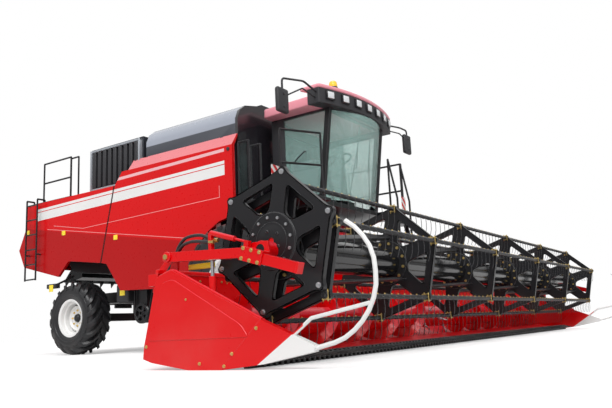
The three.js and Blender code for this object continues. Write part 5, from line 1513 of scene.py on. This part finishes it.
def make_cab_trim():
    black, grey, wipers, boards = (bmesh.new() for _ in range(4))
    cuboid(black, at(0.062, -0.84, 2.2), at(0.3, -0.828, 3.44), 0.006, 2)
    rail(
        black, [at(0.5, -0.835, 2.72), at(0.5, -0.88, 2.73), at(0.68, -0.88, 2.85), at(0.68, -0.835, 2.86)],
        0.01, 0.03,
    )
    handle = bmesh.new()
    rail(
        handle, [at(0.32, 0.866, 2.55), at(0.32, 0.92, 2.56), at(0.32, 0.92, 2.95), at(0.32, 0.866, 2.96)],
        0.01, 0.03,
    )
    piece("door_handle", handle, "plastic", "cab_door")
    for side in (-1, 1):
        foot = at(1.085, side * 0.3, 2.22)
        tip = at(1.2, side * 0.18, 2.95)
        rail(wipers, [foot, tip], 0.008, 0.03)
        rail(wipers, [tip + Vector((-0.045, 0, -0.33)), tip + Vector((0.055, 0, 0.33))], 0.007, 0.03)
        cylinder(wipers, foot - Vector((0.04, 0, 0)), foot + Vector((0.02, 0, 0)), 0.022, 16, bevel=0.004)
    cuboid(grey, at(0.35, -0.78, 2.6), at(0.8, -0.5, 2.74), 0.03, 3)
    cuboid(grey, at(0.3, -0.78, 2.11), at(0.86, -0.56, 2.6), 0.03, 3)
    cuboid(black, at(0.62, -0.72, 2.72), at(0.7, -0.52, 2.95), 0.02, 3)
    cuboid(boards, at(0.655, -1.68, 2.28), at(0.665, -1.44, 2.52), 0.002, 1)
    cuboid(boards, at(1.085, 1.46, 2.14), at(1.095, 1.6, 2.42), 0.002, 1)
    piece("cab_fittings", black, "plastic", "chassis")
    piece("cab_console", grey, "lining", "chassis")
    piece("wipers", wipers, "plastic", "chassis")
    piece("warning_boards", boards, "warning", "chassis")


class HARVESTER_OT_cab(bpy.types.Operator):
    """Builds the cab's roof, lamps, mirrors, seat and fittings"""
    bl_idname = "harvester.cab"
    bl_label = "Build the cab"

    def execute(self, context):
        make_roof()
        make_beacon()
        make_mirrors()
        make_seat()
        make_cab_trim()
        return {"FINISHED"}


# ------------------------------------------------------------------ body trim
def make_radiator_ribs():
    low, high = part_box("radiator_screen")
    ribs, frame_edges = bmesh.new(), bmesh.new()
    count = 9
    pitch = (high.x - low.x) / count
    face = low.y
    for i in range(count):
        x = low.x + pitch * (i + 0.5)
        cuboid(
            ribs, (x - pitch * 0.3, face - 0.05, low.z + 0.01), (x + pitch * 0.3, face + 0.01, high.z - 0.01),
            0.02, 3,
        )
    for x in (low.x - 0.012, high.x + 0.012):
        cuboid(
            frame_edges, (x - 0.018, face - 0.055, low.z - 0.03), (x + 0.018, face + 0.02, high.z + 0.03),
            0.006, 2,
        )
    for z in (low.z - 0.012, high.z + 0.012):
        cuboid(
            frame_edges, (low.x - 0.03, face - 0.045, z - 0.018), (high.x + 0.03, face + 0.02, z + 0.018),
            0.006, 2,
        )
    piece("radiator_ribs", ribs, "plastic", "chassis")
    piece("radiator_edges", frame_edges, "pale", "chassis")


def make_reflectors():
    yellow, amber, red, black = (bmesh.new() for _ in range(4))
    for side in (-1, 1):
        face = side * 1.65
        for x, z in ((-5.06, 2.24), (-3.99, 2.11), (-2.61, 1.875)):
            near, far = face - side * 0.006, face + side * 0.012
            cuboid(yellow, at(x - 0.045, near, z - 0.04), at(x + 0.045, far, z + 0.04), 0.006, 2)
        y = side * 1.42
        cuboid(black, at(-5.3, y - 0.13, 1.86), at(-5.22, y + 0.13, 2.0), 0.012, 2)
        cuboid(red, at(-5.315, y - 0.11, 1.88), at(-5.29, y + 0.0, 1.98), 0.008, 2)
        cuboid(amber, at(-5.315, y + 0.01, 1.88), at(-5.29, y + 0.11, 1.98), 0.008, 2)
        rail(
            black, [at(-4.15, side * 1.3, 1.38), at(-4.22, side * 1.5, 1.27), at(-4.3, side * 1.6, 1.21)],
            0.018, 0.05,
        )
        cuboid(black, at(-4.46, side * 1.6 - 0.05, 1.16), at(-4.2, side * 1.6 + 0.05, 1.24), 0.012, 2)
        cuboid(yellow, at(-4.37, side * 1.648, 1.1), at(-4.26, side * 1.66, 1.22), 0.006, 2)
    piece("side_reflectors", yellow, "reflector", "chassis")
    piece("tail_lamp_cases", black, "plastic", "chassis")
    piece("tail_lamps", red, "tail", "chassis")
    piece("turn_lamps", amber, "amber", "chassis")


def pulley(bm, x, y, z, radius, width, spokes=5):
    rim = [
        (radius - 0.03, -width / 2), (radius, -width / 2), (radius, -width * 0.35), (radius - 0.018, 0),
        (radius, width * 0.35), (radius, width / 2), (radius - 0.03, width / 2),
    ]
    turned(bm, rim, at(x, y, z), "y", 36, close=True)
    cylinder(bm, at(x, y - width * 0.6, z), at(x, y + width * 0.6, z), 0.045, 20, bevel=0.005)
    for i in range(spokes):
        px, pz = polar(x, z, 0.035, 360 * i / spokes)
        qx, qz = polar(x, z, radius - 0.02, 360 * i / spokes)
        beam(bm, at(px, y, pz), at(qx, y, qz), 0.045, 0.02, (0, 1, 0), 0.003)


def belt(bm, first, second, y, width):
    """An open belt round two pulleys, each (x, z, radius)."""
    (x1, z1, r1), (x2, z2, r2) = (first, second)
    way = atan2(z2 - z1, x2 - x1)
    outer, inner = [], []
    for loop, extra in ((outer, 0.012), (inner, 0.0)):
        for x, z, radius, turn in ((x1, z1, r1, pi / 2), (x2, z2, r2, -pi / 2)):
            for i in range(17):
                angle = way + turn + pi * i / 16
                loop.append((AXLE_X + x + (radius + extra) * cos(angle), z + (radius + extra) * sin(angle)))
    plate(bm, outer, y - width / 2, y + width / 2, holes=[inner])


def make_drives():
    metal, belts, boxes, yellow = (bmesh.new() for _ in range(4))
    for side in (-1, 1):
        y = side * 1.5
        pulley(metal, -2.15, y, 0.62, 0.15, 0.05)
        pulley(metal, -2.05, y, 1.42, 0.26, 0.05, 6)
        belt(belts, (-2.15, 0.62, 0.15), (-2.05, 1.42, 0.26), y, 0.04)
        for x, z, reach in ((-2.15, 0.62, 1.44), (-2.05, 1.42, 1.44)):
            cylinder(metal, at(x, side * reach, z), at(x, side * 1.53, z), 0.028, 16, bevel=0.003)
        cuboid(boxes, at(-2.8, side * 1.2, 0.82), at(-2.5, side * 1.48, 1.12), 0.03, 3)
        rail(
            boxes, [at(-2.65, side * 1.25, 1.05), at(-2.65, side * 1.25, 1.35), at(-2.3, side * 1.2, 1.4)],
            0.03, 0.1,
        )
        cuboid(yellow, at(-2.7, side * 1.475, 0.93), at(-2.58, side * 1.49, 1.02), 0.006, 2)
    piece("drive_pulleys", metal, "black", "chassis")
    piece("drive_belts", belts, "hose", "chassis", sharp=40)
    piece("tool_boxes", boxes, "plastic", "chassis")
    piece("box_reflectors", yellow, "reflector", "chassis")


def make_latches():
    latches, hatch = bmesh.new(), bmesh.new()
    cylinder(latches, at(-0.14, -1.648, 2.9), at(-0.14, -1.664, 2.9), 0.028, 24, bevel=0.004)
    cuboid(latches, at(-0.2, -1.662, 1.52), at(-0.12, -1.648, 1.6), 0.008, 2)
    piece("panel_latches", latches, "plastic", "side_panel_right")
    low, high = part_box("grain_tank")
    x = high.x - 0.01
    cuboid(hatch, (x, -0.55, 3.46), (x + 0.022, 0.55, 3.5), 0.006, 2)
    piece("tank_front_ribs", hatch, "charcoal", "chassis")
    door = bmesh.new()
    for y in (-0.95, 0.95):
        beam(door, at(-5.328, y, 1.95), at(-5.15, y, 2.28), 0.03, 0.02, (-1, 0, 0.5), 0.003)
    beam(door, at(-5.328, -0.95, 1.95), at(-5.328, 0.95, 1.95), 0.03, 0.02, (-1, 0, 0.5), 0.003)
    for y in (-0.7, 0.7):
        rail(
            door,
            [
                at(-5.26, y - 0.09, 2.06), at(-5.31, y - 0.09, 2.09), at(-5.31, y + 0.09, 2.09),
                at(-5.26, y + 0.09, 2.06),
            ],
            0.011, 0.03,
        )
    piece("rear_door_edges", door, "black", "chassis")
    exhaust = bmesh.new()
    low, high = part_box("radiator_housing")
    x, y = low.x + 0.55, high.y - 0.25
    route = [
        (x, y, high.z - 0.02), (x, y, high.z + 0.3), (x - 0.05, y, high.z + 0.38),
        (x - 0.16, y, high.z + 0.42),
    ]
    pipe(exhaust, rounded([Vector(p) for p in route], 0.1), 0.06, 5)
    cylinder(exhaust, (x, y, high.z - 0.01), (x, y, high.z + 0.02), 0.085, 28, bevel=0.006)
    piece("exhaust", exhaust, "steel", "chassis", sharp=50)
    vents = bmesh.new()
    for i in range(7):
        z = high.z - 0.12 - 0.085 * i
        cuboid(
            vents, (low.x - 0.014, low.y + 0.25, z - 0.025), (low.x + 0.01, high.y - 0.25, z + 0.012), 0.008,
            2,
        )
    piece("rear_vents", vents, "plastic", "chassis")


class HARVESTER_OT_body(bpy.types.Operator):
    """Builds the ribs, lamps and trim of the body"""
    bl_idname = "harvester.body"
    bl_label = "Build the body's trim"

    def execute(self, context):
        make_radiator_ribs()
        make_reflectors()
        make_drives()
        make_latches()
        return {"FINISHED"}


class HARVESTER_PT_panel(bpy.types.Panel):
    """Lists the settings and the operators"""
    bl_label = "Combine harvester"
    bl_idname = "HARVESTER_PT_panel"
    bl_space_type = "VIEW_3D"
    bl_region_type = "UI"
    bl_category = "Harvester"

    def draw(self, context):
        for label in GROUPS:
            group = getattr(context.scene, label)
            box = self.layout.box()
            for name in group.__annotations__:
                box.prop(group, name)
        for operator in OPERATORS:
            self.layout.operator(operator.bl_idname)


GROUPS = {
    "harvester_paint": HarvesterPaint, "harvester_tyres": HarvesterTyres, "harvester_reel": HarvesterReel,
    "harvester_stage": HarvesterStage,
}
OPERATORS = (
    HARVESTER_OT_paint, HARVESTER_OT_wheels, HARVESTER_OT_header, HARVESTER_OT_reel, HARVESTER_OT_cab,
    HARVESTER_OT_body, HARVESTER_OT_stage,
)


def register():
    for made in (*GROUPS.values(), *OPERATORS, HARVESTER_PT_panel):
        bpy.utils.register_class(made)
    for name, group in GROUPS.items():
        setattr(bpy.types.Scene, name, PointerProperty(type=group))


def unregister():
    for name in GROUPS:
        delattr(bpy.types.Scene, name)
    for made in (HARVESTER_PT_panel, *reversed(OPERATORS), *GROUPS.values()):
        bpy.utils.unregister_class(made)


def main():
    register()
    bpy.context.scene.view_settings.view_transform = "Standard"
    for operator in OPERATORS:
        group, name = operator.bl_idname.split(".")
        getattr(getattr(bpy.ops, group), name)()


if __name__ == "__main__":
    main()
